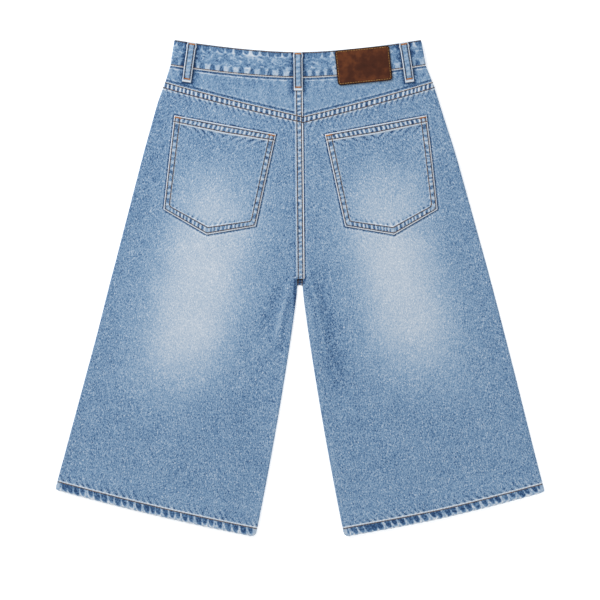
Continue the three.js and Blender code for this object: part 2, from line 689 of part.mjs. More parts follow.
export default shorts;
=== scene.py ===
"""Long, wide-legged denim shorts, washed and faded, laid flat with the seat side up.

Metres. +Z is up from the surface, +Y runs from the hems to the waist, and -X is the wearer's left.
"""
import math

import bmesh
import bpy
import numpy as np
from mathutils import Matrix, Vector
from mathutils.bvhtree import BVHTree


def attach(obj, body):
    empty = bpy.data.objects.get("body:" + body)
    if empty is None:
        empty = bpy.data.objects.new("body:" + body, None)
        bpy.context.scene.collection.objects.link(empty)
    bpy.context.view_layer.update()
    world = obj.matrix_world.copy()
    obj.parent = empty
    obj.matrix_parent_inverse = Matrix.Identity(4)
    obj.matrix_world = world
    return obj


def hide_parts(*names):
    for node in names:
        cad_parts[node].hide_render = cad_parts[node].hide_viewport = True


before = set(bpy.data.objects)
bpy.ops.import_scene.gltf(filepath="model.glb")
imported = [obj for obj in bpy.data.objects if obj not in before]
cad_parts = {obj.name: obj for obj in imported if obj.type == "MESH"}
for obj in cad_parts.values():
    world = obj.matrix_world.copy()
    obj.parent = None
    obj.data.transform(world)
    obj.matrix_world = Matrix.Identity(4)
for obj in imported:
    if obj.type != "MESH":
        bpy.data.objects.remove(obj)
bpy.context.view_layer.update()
scene = bpy.context.scene
scene.view_settings.view_transform = "Standard"


# Studio
#
# The shorts lie on a pale surface and are looked at from straight above, through a long lens. One
# large soft light from the waist's left shows the seams, and a weaker one fills from the other side.

PICTURE_SPAN = 0.930
PICTURE_MIDDLE_Y = -0.0186
LENS = 100
SENSOR = 36
CLOTH_HEIGHT = 0.006

camera = bpy.data.objects.new("camera", bpy.data.cameras.new("camera"))
scene.collection.objects.link(camera)
camera.data.lens = LENS
camera.data.sensor_width = SENSOR
camera.data.clip_end = 20
camera.location = (0, PICTURE_MIDDLE_Y, CLOTH_HEIGHT + PICTURE_SPAN * LENS / SENSOR)
scene.camera = camera


def soft_light(name, place, size, power):
    """A square softbox that faces the middle of the shorts."""
    lamp = bpy.data.lights.new(name, "AREA")
    lamp.size = size
    lamp.energy = power
    light = bpy.data.objects.new(name, lamp)
    scene.collection.objects.link(light)
    light.location = place
    light.rotation_euler = Vector(place).to_track_quat("Z", "Y").to_euler()


soft_light("key_light", (-1.5, 1.5, 1.7), 1.3, 46)
soft_light("fill_light", (1.7, -1.2, 2.0), 2.0, 21)

world = bpy.data.worlds.new("studio")
scene.world = world
world.use_nodes = True
background = world.node_tree.nodes["Background"].inputs
background["Color"].default_value = (1, 1, 1, 1)
background["Strength"].default_value = 0.5


def linear(red, green, blue):
    """A colour given as 0 to 255 display values, as the linear values that a shader takes."""
    parts = [value / 255 for value in (red, green, blue)]
    return (*(p / 12.92 if p <= 0.04045 else ((p + 0.055) / 1.055) ** 2.4 for p in parts), 1.0)


class Wire:
    """An output socket of a node tree. Arithmetic on it adds Math nodes."""

    def __init__(self, tree, socket):
        self.tree = tree
        self.socket = socket

    def math(self, operation, first, second, clamp=False):
        settings = {"operation": operation, "use_clamp": clamp}
        return self.tree.node("ShaderNodeMath", settings, {0: first, 1: second})

    def __add__(self, other):
        return self.math("ADD", self, other)

    def __radd__(self, other):
        return self.math("ADD", other, self)

    def __sub__(self, other):
        return self.math("SUBTRACT", self, other)

    def __rsub__(self, other):
        return self.math("SUBTRACT", other, self)

    def __mul__(self, other):
        return self.math("MULTIPLY", self, other)

    def __rmul__(self, other):
        return self.math("MULTIPLY", other, self)

    def clamped(self):
        return self.math("ADD", self, 0.0, clamp=True)


class Tree:
    """A node tree that is built one node at a time."""

    def __init__(self, node_tree):
        self.made = node_tree
        node_tree.nodes.clear()

    def node(self, kind, settings=None, inputs=None, output=0):
        """Adds a node. Its settings are set first, then the values or wires of its inputs."""
        node = self.made.nodes.new(kind)
        for name, value in (settings or {}).items():
            if name == "stops":
                self.fill_ramp(node.color_ramp, value)
            else:
                setattr(node, name, value)
        for name, value in (inputs or {}).items():
            if isinstance(value, Wire):
                self.made.links.new(value.socket, node.inputs[name])
            else:
                node.inputs[name].default_value = value
        return Wire(self, node.outputs[output]) if len(node.outputs) else None

    @staticmethod
    def fill_ramp(ramp, stops):
        while len(ramp.elements) < len(stops):
            ramp.elements.new(0.5)
        for element, (place, colour) in zip(ramp.elements, stops):
            element.position = place
            element.color = colour


def new_material(name):
    material = bpy.data.materials.new(name)
    material.use_nodes = True
    return material, Tree(material.node_tree)


def place_in(tree):
    """Where a point of the piece lies, in metres."""
    return tree.node("ShaderNodeTexCoord", output="Object")


def attribute(tree, name):
    """A value that the mesh carries at each point."""
    return tree.node("ShaderNodeAttribute", {"attribute_name": name}, output="Fac")


def noise(tree, place, scale, detail):
    inputs = {"Vector": place, "Scale": scale, "Detail": detail}
    return tree.node("ShaderNodeTexNoise", None, inputs)


def ramp(tree, factor, stops):
    return tree.node("ShaderNodeValToRGB", {"stops": stops}, {"Fac": factor})


def bump(tree, relief, strength, distance):
    inputs = {"Strength": strength, "Distance": distance, "Height": relief}
    return tree.node("ShaderNodeBump", None, inputs)


def surface(tree, colour, roughness, **inputs):
    """Ends a material's tree with one surface of this colour and roughness."""
    given = {name.replace("_", " "): value for name, value in inputs.items()}
    given |= {"Base Color": colour, "Roughness": roughness}
    finish = tree.node("ShaderNodeBsdfPrincipled", None, given)
    tree.node("ShaderNodeOutputMaterial", None, {"Surface": finish})


def floor_material():
    material, tree = new_material("pale_surface")
    grain = noise(tree, place_in(tree), 60.0, 3.0)
    colour = ramp(tree, grain, [(0.3, linear(246, 246, 246)), (0.7, linear(250, 250, 250))])
    surface(tree, colour, 0.8, Emission_Color=(1, 1, 1, 1), Emission_Strength=0.36)
    return material


FLOOR_HALF = 3.0
FLOOR_CLEARANCE = 0.0003  # so that the cloth's flat underside doesn't flicker against the surface

floor_mesh = bpy.data.meshes.new("floor")
corners = [(-1, -1), (1, -1), (1, 1), (-1, 1)]
floor_points = [(x * FLOOR_HALF, y * FLOOR_HALF, -FLOOR_CLEARANCE) for x, y in corners]
floor_mesh.from_pydata(floor_points, [], [(0, 1, 2, 3)])
floor = bpy.data.objects.new("floor", floor_mesh)
scene.collection.objects.link(floor)
floor.data.materials.append(floor_material())


# Denim
#
# Indigo cotton twill, stone-washed: the high places are rubbed nearly white and the hollows keep
# their dye. Each point of the cloth carries a tone, from 0 for full dye to 1 for bare cotton, and the
# weave's own speckle is laid over it. The dark tones along and beside the seams, in the stitch
# grooves, round the pockets, beside the belt loops and at the crotch are painted shade.

TONE_STOPS = [
    (0.00, linear(36, 64, 104)),
    (0.16, linear(59, 97, 141)),
    (0.42, linear(113, 146, 178)),
    (0.62, linear(148, 172, 196)),
    (0.82, linear(188, 199, 211)),
    (1.00, linear(228, 231, 235)),
]
PLAIN_TONE = 0.43
ROW_SHADE_TONE, SEAM_SHADE_TONE, SHADOW_TONE = 0.22, 0.08, 0.05  # painted shade: under the threads, along the seams and beside them
HALF_DEPTH = 0.0099
TWILL_TURN = 62


def denim_material():
    material, tree = new_material("washed_denim")
    split = tree.node("ShaderNodeSeparateXYZ", None, {"Vector": place_in(tree)})
    x, y, z = (Wire(tree, split.socket.node.outputs[axis]) for axis in "XYZ")
    # The two legs are cut as a mirrored pair, so their twill leans opposite ways, but each half
    # reads the noise at its own depth
    half = {"X": x.math("ABSOLUTE", x, 0.0), "Y": y, "Z": z + x.math("SIGN", x, 0.0) * HALF_DEPTH}
    place = tree.node("ShaderNodeCombineXYZ", None, half)
    tone = attribute(tree, "tone")

    def speckle(size, stretch, turn, detail):
        """Noise about 0, in grains of this size that are stretched along a slanting line."""
        turned = tree.node(
            "ShaderNodeMapping",
            {"vector_type": "TEXTURE"},
            {"Vector": place, "Rotation": (0, 0, math.radians(turn)), "Scale": (1, stretch, 1)},
        )
        inputs = {"Vector": turned, "Scale": 1 / size, "Detail": detail, "Roughness": 0.6}
        return tree.node("ShaderNodeTexNoise", None, inputs) - 0.5

    yarn = speckle(0.0011, 2.6, 40, 1.0)
    slub = speckle(0.0009, 3.2, 3, 1.0)
    cloud = speckle(0.014, 1.3, 0, 2.0)
    leaning = {"Vector": place, "Rotation": (0, 0, math.radians(TWILL_TURN))}
    lines = tree.node("ShaderNodeMapping", None, leaning)
    wave = {"Vector": lines, "Scale": 330.0, "Distortion": 1.5, "Detail": 1.0, "Detail Scale": 3.0}
    twill = tree.node("ShaderNodeTexWave", None, wave)
    rubbed = tone.math("MAXIMUM", 2.3 - tone * 2.25, 0.38)
    weave = (yarn * 0.90 + slub * 0.80 + cloud * 0.14) * rubbed + (twill - 0.5) * 0.07
    shade = (tone + weave * (1.0 - attribute(tree, "calm"))).clamped()
    relief = bump(tree, twill * 0.5 + yarn * 1.6 + slub * 0.8, 0.5, 0.00022)
    surface(tree, ramp(tree, shade, TONE_STOPS), 0.92, Specular_IOR_Level=0.2, Normal=relief)
    return material


denim = denim_material()


def ease(t):
    t = np.clip(t, 0, 1)
    return t * t * (3 - 2 * t)


def mix(a, b, t):
    return a + (b - a) * t


def hump(distance, width):
    """1 at a line and falling softly to 0 over this width on each side."""
    return np.exp(-((distance / width) ** 2))


def past(distance, start, soft):
    """0 up to a distance from an edge and 1 beyond it, with a soft limit."""
    return ease((distance - start) / soft + 0.5)


def up_to(distance, end, soft):
    """1 up to a distance from an edge and 0 beyond it, with a soft limit."""
    return ease((end - distance) / soft + 0.5)


def between(distance, start, end, soft):
    return past(distance, start, soft) * up_to(distance, end, soft)


def grooves(distance, rows, width):
    """1 along the rows of stitches that lie at these distances from an edge."""
    return sum(hump(distance - row, width) for row in rows)


ROW_REACH = 1.2  # a row of marks runs this far to both sides of 0, past the end of every seam
SPOT_JITTER = 0.25


def uneven_row(draw, pitch, jitter):
    """Uneven places along a row, and their numbers."""
    count = int(2 * ROW_REACH / pitch)
    places = np.cumsum(pitch * (1 + jitter * draw.uniform(-1, 1, count))) - ROW_REACH
    return places, np.arange(count)


def uneven(along, pitch, seed, jitter=0.28):
    """A row of puckers along a seam, uneven in spacing and depth: 1 on a crest, -1 in a hollow."""
    draw = np.random.default_rng(seed)
    crests, order = uneven_row(draw, pitch, jitter)
    phase = np.interp(along, crests, order)
    depth = np.interp(phase, order, draw.uniform(0.55, 1, len(order)))
    return np.cos(2 * np.pi * phase) * depth


def spots(along, pitch, seed):
    """A row of spots: the distance from the nearest one's middle, and how strong and wide it is."""
    draw = np.random.default_rng(seed)
    middles, order = uneven_row(draw, pitch, SPOT_JITTER)
    nearest = np.clip(np.round(np.interp(along, middles, order)), 0, order[-1]).astype(int)
    strength = draw.uniform(0.72, 1, len(order))[nearest]
    width = draw.uniform(0.8, 1.15, len(order))[nearest]
    return along - middles[nearest], strength, width


HOLLOW_POWER = 2.4  # how square the hollows are


def hollows(along, depth, pitch, half_width, reach, seed):
    """A row of rounded hollows that hang from a seam to this reach, and the rims round them."""
    offset, strength, wide = spots(along, pitch, seed)
    bulk = (np.abs(offset) / (half_width * wide)) ** HOLLOW_POWER
    bulk = bulk + (np.maximum(0, depth) / (reach * wide)) ** HOLLOW_POWER
    below = past(depth, 0, 0.0006)
    return strength * (1 - ease((bulk - 0.5) / 0.8)) * below, hump(bulk - 1.6, 0.55) * below


def drift(x, y, size, seed):
    """Soft variation over the cloth, from -1 to 1, in patches of this size."""
    cells, shift = 97, 40
    values = np.random.default_rng(seed).uniform(-1, 1, (cells, cells))
    u = np.asarray(x) / size + shift
    v = np.asarray(y) / size + shift
    i = np.floor(u).astype(int)
    j = np.floor(v).astype(int)
    a = ease(u - i)
    b = ease(v - j)

    def at(p, q):
        return values[p % cells, q % cells]

    return mix(mix(at(i, j), at(i + 1, j), a), mix(at(i, j + 1), at(i + 1, j + 1), a), b)


def stations(length, step, fine=()):
    """Places along a line, a step apart, or closer within each (from, to, step) of fine."""
    places = [0.0]
    while places[-1] < length - 1e-6:
        at = places[-1]
        closer = [size for start, end, size in fine if start <= at + step and at < end]
        places.append(min(length, at + min([step, *closer])))
    if places[-1] - places[-2] < step / 20:
        places.pop(-2)
    return np.array(places)


def points_at(x, y, z):
    """Points from coordinates that are spread over the same grid."""
    return np.stack(np.broadcast_arrays(x, y, z), axis=-1)


def finish_mesh(name, points, faces, material, tone, calm):
    """A smooth mesh object with its faces turned outwards, and a tone and a calm at each point.

    The calm is how much of the weave's speckle is rubbed out.
    """
    mesh = bpy.data.meshes.new(name)
    mesh.from_pydata(points, [], faces)
    for label, values in (("tone", tone), ("calm", 0 * tone + calm)):
        layer = mesh.attributes.new(label, "FLOAT", "POINT")
        layer.data.foreach_set("value", values.astype(np.float32))
    mesh.polygons.foreach_set("use_smooth", [True] * len(faces))
    mesh.materials.append(material)
    shaped = bmesh.new()
    shaped.from_mesh(mesh)
    bmesh.ops.recalc_face_normals(shaped, faces=shaped.faces)
    shaped.to_mesh(mesh)
    shaped.free()
    piece = bpy.data.objects.new(name, mesh)
    scene.collection.objects.link(piece)
    return piece


INSIDE_TONE = 0.72  # the wrong side of denim shows its white weft
EDGE_JUMP = 0.004


def cloth_wall(name, outer, inner, tone, inner_tone=None, inner_step=4, calm=0.0):
    """A closed wall of cloth from its outer points, in rows, and the inner points behind them.

    The inner side is kept only at every few rows and columns, because it is hardly seen, and where
    the last edge jumps sideways, as it does at the crotch.
    """
    rows, columns = outer.shape[:2]
    jumps = np.flatnonzero(np.abs(np.diff(outer[:, -1, 0])) > EDGE_JUMP).tolist()
    kept_rows = sorted({*range(0, rows, inner_step), *jumps, *(row + 1 for row in jumps), rows - 1})
    kept_columns = sorted({*range(0, columns, inner_step), columns - 1})
    inner_points = inner[np.ix_(kept_rows, kept_columns)].reshape(-1, 3)
    points = np.vstack([outer.reshape(-1, 3), inner_points])

    def out(i, j):
        return i * columns + j

    def back(i, j):
        return rows * columns + kept_rows.index(i) * len(kept_columns) + kept_columns.index(j)

    grid = np.arange(rows * columns).reshape(rows, columns)
    quads = np.stack([grid[:-1, :-1], grid[:-1, 1:], grid[1:, 1:], grid[1:, :-1]], axis=-1)
    faces = quads.reshape(-1, 4).tolist()
    row_spans = list(zip(kept_rows, kept_rows[1:]))
    column_spans = list(zip(kept_columns, kept_columns[1:]))
    for i0, i1 in row_spans:
        for j0, j1 in column_spans:
            faces.append([back(i0, j0), back(i1, j0), back(i1, j1), back(i0, j1)])
    foot, end = rows - 1, columns - 1
    for j0, j1 in column_spans:
        faces.append([*(out(0, j) for j in range(j1, j0 - 1, -1)), back(0, j0), back(0, j1)])
        faces.append([*(out(foot, j) for j in range(j0, j1 + 1)), back(foot, j1), back(foot, j0)])
    for i0, i1 in row_spans:
        faces.append([*(out(i, 0) for i in range(i0, i1 + 1)), back(i1, 0), back(i0, 0)])
        faces.append([*(out(i, end) for i in range(i1, i0 - 1, -1)), back(i0, end), back(i1, end)])
    if inner_tone is None:
        inner_tone = np.full((rows, columns), INSIDE_TONE)
    kept = np.ix_(kept_rows, kept_columns)
    calm = np.broadcast_to(calm, (rows, columns))
    tones = np.concatenate([tone.reshape(-1), inner_tone[kept].reshape(-1)])
    calms = np.concatenate([calm.reshape(-1), calm[kept].reshape(-1)])
    return finish_mesh(name, points.tolist(), faces, denim, tones, calms)


# Outline and layers
#
# What all the panels share. The halves are mirror images about a centre line that leans a little to
# the left at the waist. In each half x is the distance from that line. The legs lie on the surface,
# and the loops and the button under the front hold the waist up a little.

PLY = 0.0012
SEAM_GAP = 0.0003
TOP_Y = 0.3848
BACK_DIP, BACK_DIP_POWER = 0.0191, 1.65
FRONT_DIP, FRONT_DIP_POWER = 0.048, 1.8
BAND_HEIGHT = 0.0404
WAIST_HALF = 0.1913
HIP_Y, HIP_HALF, SIDE_SLOPE = 0.2918, 0.217, 0.2695
NIP_Y, NIP_DEPTH, NIP_SPREAD = 0.350, 0.0048, 0.024
YOKE_SIDE_Y, YOKE_CENTRE_Y = 0.3197, 0.2663
YOKE_SAG, SAG_FADE = 0.0014, 5
YOKE_SEAM_COS = 0.972  # what the yoke seam's slant takes off a depth below it
LEAN, LEAN_FROM_Y = 0.0034, 0.028
FRONT_LIFT, LIFT_RUN = 0.003, 0.250
LEG_LOFT, EDGE_LOFT, WAIST_LOFT, HEM_LOFT = 0.0032, 0.0044, 0.0041, 0.0056
EDGE_REACH = 0.016
HEM_FLAT, HEM_FADE = 0.014, 0.042
FELL_HALF = 0.0069
BOWS = {-1: 0.0015, 1: 0.0034}  # how far each side bows out over the hip and the thigh
BOW_FROM_Y, BOW_FROM_RUN = 0.30, 0.11
BOW_TO = {-1: (-0.08, 0.10), 1: (-0.33, 0.38)}  # where each bow ends, and the run of its fading
BOW_POWER = 8  # how closely the bow and the dent keep to the side
DENTS = {-1: 0.0026, 1: 0.0008}  # how far each side draws in at the yoke
DENT_Y, DENT_SPREAD = 0.316, 0.020
HEM_DROPS = {-1: 0.0, 1: 0.0038}  # how much lower each leg hangs at its outer side
HANG_FROM_X, HANG_RUN_X = 0.05, 0.20
HANG_FROM_Y, HANG_RUN_Y = -0.12, 0.18
SIDE_COS = 1 / math.hypot(1, SIDE_SLOPE)
SIDE_WAY = (SIDE_COS, SIDE_COS * SIDE_SLOPE)
ROLL_TURNS = np.radians([90, 72, 54, 36, 18, 0])  # the angles of a rolled edge's points

# Soft folds that run down the inner thighs from the crotch: side, start, end, height, half width
FOLDS = [
    (-1, (0.014, 0.014), (0.040, -0.092), 0.0011, 0.009),
    (-1, (0.030, 0.008), (0.062, -0.084), -0.0005, 0.013),
    (1, (0.014, 0.013), (0.039, -0.100), 0.0012, 0.008),
    (1, (0.027, 0.006), (0.058, -0.096), -0.0006, 0.013),
]


def side_half(y):
    return HIP_HALF + SIDE_SLOPE * (HIP_Y - y) - NIP_DEPTH * hump(y - NIP_Y, NIP_SPREAD)


FOOT_HALF = float(side_half(TOP_Y - BAND_HEIGHT))


def dipped(x, half, dip, power):
    return TOP_Y - dip * (1 - np.minimum(1, np.abs(x) / half) ** power)


def back_band_top(x):
    return dipped(x, WAIST_HALF, BACK_DIP, BACK_DIP_POWER)


def front_band_top(x):
    return dipped(x, WAIST_HALF, FRONT_DIP, FRONT_DIP_POWER)


def back_band_foot(x):
    return dipped(x, FOOT_HALF, BACK_DIP, BACK_DIP_POWER) - BAND_HEIGHT


def front_band_foot(x):
    return dipped(x, FOOT_HALF, FRONT_DIP, FRONT_DIP_POWER) - BAND_HEIGHT


def centre_back_x(side):
    """The left half laps over the centre line, and the right half stops beside it."""
    return -FELL_HALF if side < 0 else FELL_HALF + SEAM_GAP


def yoke_seam_y(side, x):
    start = centre_back_x(side)
    t = (x - start) / (side_half(YOKE_SIDE_Y) - start)
    return mix(YOKE_CENTRE_Y, YOKE_SIDE_Y, t) - YOKE_SAG * 4 * t * (1 - t)


def from_side(x, y):
    return (side_half(y) - x) * SIDE_COS


def lift(y):
    return FRONT_LIFT * ease(y / LIFT_RUN)


def loft(y, from_hem, from_edge):
    """The height of both layers and the air between them."""
    waist = ease(y / float(back_band_foot(0)))
    edge = mix(EDGE_LOFT, WAIST_LOFT, waist)
    body = mix(mix(LEG_LOFT, WAIST_LOFT, waist), edge, hump(from_edge, EDGE_REACH))
    return mix(body, HEM_LOFT, ease((HEM_FLAT + HEM_FADE - from_hem) / HEM_FADE))


def along_line(x, y, start, end):
    """How far along a line a place lies, from 0 to 1, and how far to its side."""
    run = math.dist(start, end)
    way_x, way_y = (end[0] - start[0]) / run, (end[1] - start[1]) / run
    t = ((x - start[0]) * way_x + (y - start[1]) * way_y) / run
    return t, (x - start[0]) * way_y - (y - start[1]) * way_x


def roll_radius(y, from_hem=1.0):
    """The radius of a side edge, where the two layers roll towards each other."""
    return loft(y, from_hem, 0) / 2 - SEAM_GAP / 2


def in_from_roll(radius, width, columns):
    """Distances in from a rolled edge: close together on its turn, then even across the width."""
    rolls = radius * (1 - np.sin(ROLL_TURNS))[None, :] + 0 * width
    even = np.linspace(0, 1, columns)[None, 1:]
    return np.hstack([rolls, mix(rolls[:, -1:], width, even)])


def fold_height(side, x, y):
    height = np.zeros(np.shape(x))
    for fold_side, start, end, tall, wide in FOLDS:
        if fold_side == side:
            t, across = along_line(x, y, start, end)
            height = height + tall * np.sin(np.pi * np.clip(t, 0, 1)) * hump(across, wide)
    return height


def back_top(side, x, y, from_hem=1.0, from_edge=None):
    nearest = from_side(x, y) if from_edge is None else from_edge
    return lift(y) + loft(y, from_hem, nearest) + fold_height(side, x, y)


def lean_at(y):
    return LEAN * np.clip((y - LEAN_FROM_Y) / (TOP_Y - LEAN_FROM_Y), 0, 1)


def lay(side, x, y, z):
    """The points of one half, laid on its side of the shorts, with that side's own bow and hang."""
    bow_end, bow_fade = BOW_TO[side]
    bow = BOWS[side] * ease((BOW_FROM_Y - y) / BOW_FROM_RUN) * ease((y - bow_end) / bow_fade)
    bow = bow - DENTS[side] * hump(y - DENT_Y, DENT_SPREAD)
    bow = bow * np.clip(x / side_half(y), 0, 1) ** BOW_POWER
    drop = HEM_DROPS[side] * ease((x - HANG_FROM_X) / HANG_RUN_X)
    drop = drop * ease((HANG_FROM_Y - y) / HANG_RUN_Y)
    return points_at(side * (x + bow) - lean_at(y), y - drop, z)


def rolled(side, x, y, z, ply, up, inset, radius, way):
    """Outer and inner points of a wall whose edge rolls over towards the other layer."""
    turn = np.arcsin(np.clip(1 - inset / radius, 0, 1))
    outer_z = z - up * radius * (1 - np.cos(turn))
    reach = ply * np.sin(turn)
    outer = lay(side, x, y, outer_z)
    inner = lay(side, x - reach * way[0], y - reach * way[1], outer_z - up * ply * np.cos(turn))
    return outer, inner


# Back panels
#
# Each leg's seat side is one piece from the yoke to the hem. Its top edge is felled over the yoke and
# the left one's centre edge over the right one's, both with two rows of stitches, and the hem is
# turned up and stitched once. Washing has puckered each of these and rubbed their crests pale.

FELL_WIDTH = 0.0112
FELL_RAISE = 0.001
FELL_STEP = 0.0012
FELL_FOOT = 0.0125  # where the cloth below the felled edge is flat again
BACK_CROTCH_Y = 0.0143
FRONT_CROTCH_Y = 0.0043
CROTCH_HALF_GAP = 0.0026
INSEAM_SLOPE, INSEAM_BOW = 0.135, 0.09
CROTCH_EASE, CROTCH_EASE_RUN = 0.0024, 0.018
HEM_INNER = (0.067, -0.386)
HEM_OUTER_Y = -0.3125
HEM_BOW = 0.0034
HEM_CORNERS = (0.004, 0.007)
HEM_PLY = 0.0025
HEM_HEIGHT = 0.0142
HEM_RAISE = 0.0005
HEM_ROUND = 0.0012
HEM_WAVE = 0.0004
HEM_CALM = 0.45
HEM_REACH = 0.05  # how far up the twist shows
HEM_HOLLOWS = (0.0116, 0.0046, 0.0108)  # the pitch, half width and reach of the twist's hollows
HEM_NICKS = (0.0061, 0.0013, 0.0070)
HEM_SLANT_PITCH, HEM_RIDGE_PITCH = 0.0098, 0.0052
FELL_PITCH, PULL_PITCH = 0.0070, 0.0088  # the puckers on a felled edge and in the cloth below it
LAP_PITCH = 0.0078
BACK_STEP = 0.00122
BACK_CUT = (0.388, 0.706)
YOKE_ROWS = (0.0016, 0.0096)  # the stitch rows below the yoke seam
CENTRE_ROWS = (0.0024, 0.0096)  # and in from the lapped centre edge
FELL_SHADES, FELL_SHADE_WIDTH = (0.0010, 0.0089), 0.0013  # the painted shade lines along the yoke seam's stitch rows
HEM_ROW = 0.0130

# Where the thighs are worn pale: side, middle, half width, the heights where it starts and ends
THIGH_FADES = [
    (-1, 0.1580, 0.076, (0.215, 0.060), (-0.055, -0.225), 0.365),
    (1, 0.1555, 0.073, (0.215, 0.060), (-0.040, -0.208), 0.345),
]
FADE_SPREAD = 0.235  # the pale patches move outwards by this much of the way down
FADE_POWER = 2.6
HIP_SHADES = {-1: 0.04, 1: 0.012}  # how much darker each hip is at its side

# Marks in the tone, the pale ones worn streaks and the dark ones painted shade in the creases and
# beside the crotch's parting: side, start, end, change of tone, half width
STREAKS = [
    (-1, (0.0135, 0.022), (0.041, -0.088), 0.17, 0.0030),
    (-1, (0.0072, 0.021), (0.0086, -0.032), -0.55, 0.0019),
    (-1, (0.0110, 0.014), (0.0290, -0.100), -0.11, 0.0090),
    (-1, (0.030, 0.006), (0.056, -0.066), -0.08, 0.0110),
    (1, (0.0125, 0.018), (0.0270, -0.026), 0.18, 0.0026),
    (1, (0.0250, -0.014), (0.0390, -0.104), 0.17, 0.0028),
    (1, (0.020, 0.030), (0.064, -0.170), -0.13, 0.0170),
    (1, (0.0096, 0.0190), (0.0046, 0.0050), -0.62, 0.0013),
    (1, (0.0080, 0.0040), (0.0180, -0.0200), -0.10, 0.0040),
    (1, (0.0100, -0.004), (0.0250, -0.085), 0.075, 0.0070),
]


def inseam_half(y):
    down = np.maximum(0, FRONT_CROTCH_Y - y)
    return CROTCH_HALF_GAP + INSEAM_SLOPE * down + INSEAM_BOW * down * down


def back_inseam_half(y):
    return inseam_half(y) + CROTCH_EASE * np.exp((y - BACK_CROTCH_Y) / CROTCH_EASE_RUN)


def thigh_tone(side, x, y):
    tone = np.zeros(np.shape(x))
    for fade_side, middle, width, (above, full), (low, below), strength in THIGH_FADES:
        if fade_side == side:
            run = ease((above - y) / (above - full)) * ease((y - below) / (low - below))
            aside = np.abs((x - middle + FADE_SPREAD * y) / width)
            tone = tone + strength * run * np.exp(-(aside**FADE_POWER))
    return tone


def streak_tone(side, x, y):
    tone = np.zeros(np.shape(x))
    for streak_side, start, end, change, wide in STREAKS:
        if streak_side == side:
            t, across = along_line(x, y, start, end)
            tone = tone + change * np.sqrt(np.clip(4 * t * (1 - t), 0, 1)) * hump(across, wide)
    return tone


class LegRows:
    """The grid of a leg panel: rows square across it, from its top edge to the hem.

    top is the top edge's height at the side and at the centre, and the centre edge's x. down gives
    the rows' distances from the top, and sag is how far the top edge hangs between its ends.
    """

    def __init__(self, top, crotch_y, inseam, down, across_step, sag=0.0):
        top_side_y, top_centre_y, centre_x = top
        seat = top_centre_y - crotch_y
        leg = math.dist((float(inseam(crotch_y)), crotch_y), HEM_INNER)
        self.total = seat + leg
        distances = down(self.total)
        self.from_top = distances[:, None]
        self.from_hem = self.total - self.from_top
        self.share = self.from_top / self.total
        self.on_leg = self.from_top > seat
        side_y = mix(top_side_y, HEM_OUTER_Y, self.share)
        inner_y = np.where(
            self.on_leg,
            mix(crotch_y, HEM_INNER[1], (self.from_top - seat) / leg),
            top_centre_y - self.from_top,
        )
        self.outer_end = (side_half(side_y), side_y)
        self.inner_end = (np.where(self.on_leg, inseam(inner_y), centre_x), inner_y)
        self.radius = roll_radius(inner_y, self.from_hem)
        trims = [r - np.sqrt(r**2 - np.clip(r - self.from_hem, 0, r) ** 2) for r in HEM_CORNERS]
        span_x = self.inner_end[0] - self.outer_end[0]
        span_y = self.inner_end[1] - self.outer_end[1]
        length = np.hypot(span_x, span_y)
        usable = length - trims[0] - trims[1]
        rolls = self.radius * (1 - np.sin(ROLL_TURNS))
        even = np.linspace(0, 1, int(float(length.max()) / across_step))[1:-1]
        middle = mix(rolls[:, -1:], usable - rolls[:, -1:], even[None, :])
        self.inset = np.hstack([rolls, middle, usable - rolls[:, ::-1]])
        self.to_inner = np.where(self.on_leg, usable - self.inset, 1.0)
        self.from_centre = usable - self.inset
        self.from_edge = np.minimum(self.inset, self.to_inner)
        self.across = (self.inset + trims[0]) / length
        bow = 4 * self.across * (1 - self.across)
        bow = -bow * (HEM_BOW * self.share**4 + sag * (1 - self.share) ** SAG_FADE)
        self.x = self.outer_end[0] + span_x * self.across
        self.y = self.outer_end[1] + span_y * self.across + bow
        inner_side = self.inset > self.to_inner
        way_x = np.where(inner_side, -SIDE_COS, SIDE_WAY[0])
        self.way = (way_x, np.where(inner_side, 0.0, SIDE_WAY[1]))

    def wall(self, side, up, z, ply):
        """The panel's outer and inner points, its hem rounded off at the folded edge."""
        edge = (self.from_edge, self.radius, self.way)
        outer, inner = rolled(side, self.x, self.y, z, ply, up, *edge)
        near = np.clip(1 - self.from_hem / HEM_ROUND, 0, 1)
        rounding = (0.42 * (1 - np.sqrt(1 - near**2)))[..., None]
        return mix(outer, inner, rounding), mix(inner, outer, rounding)


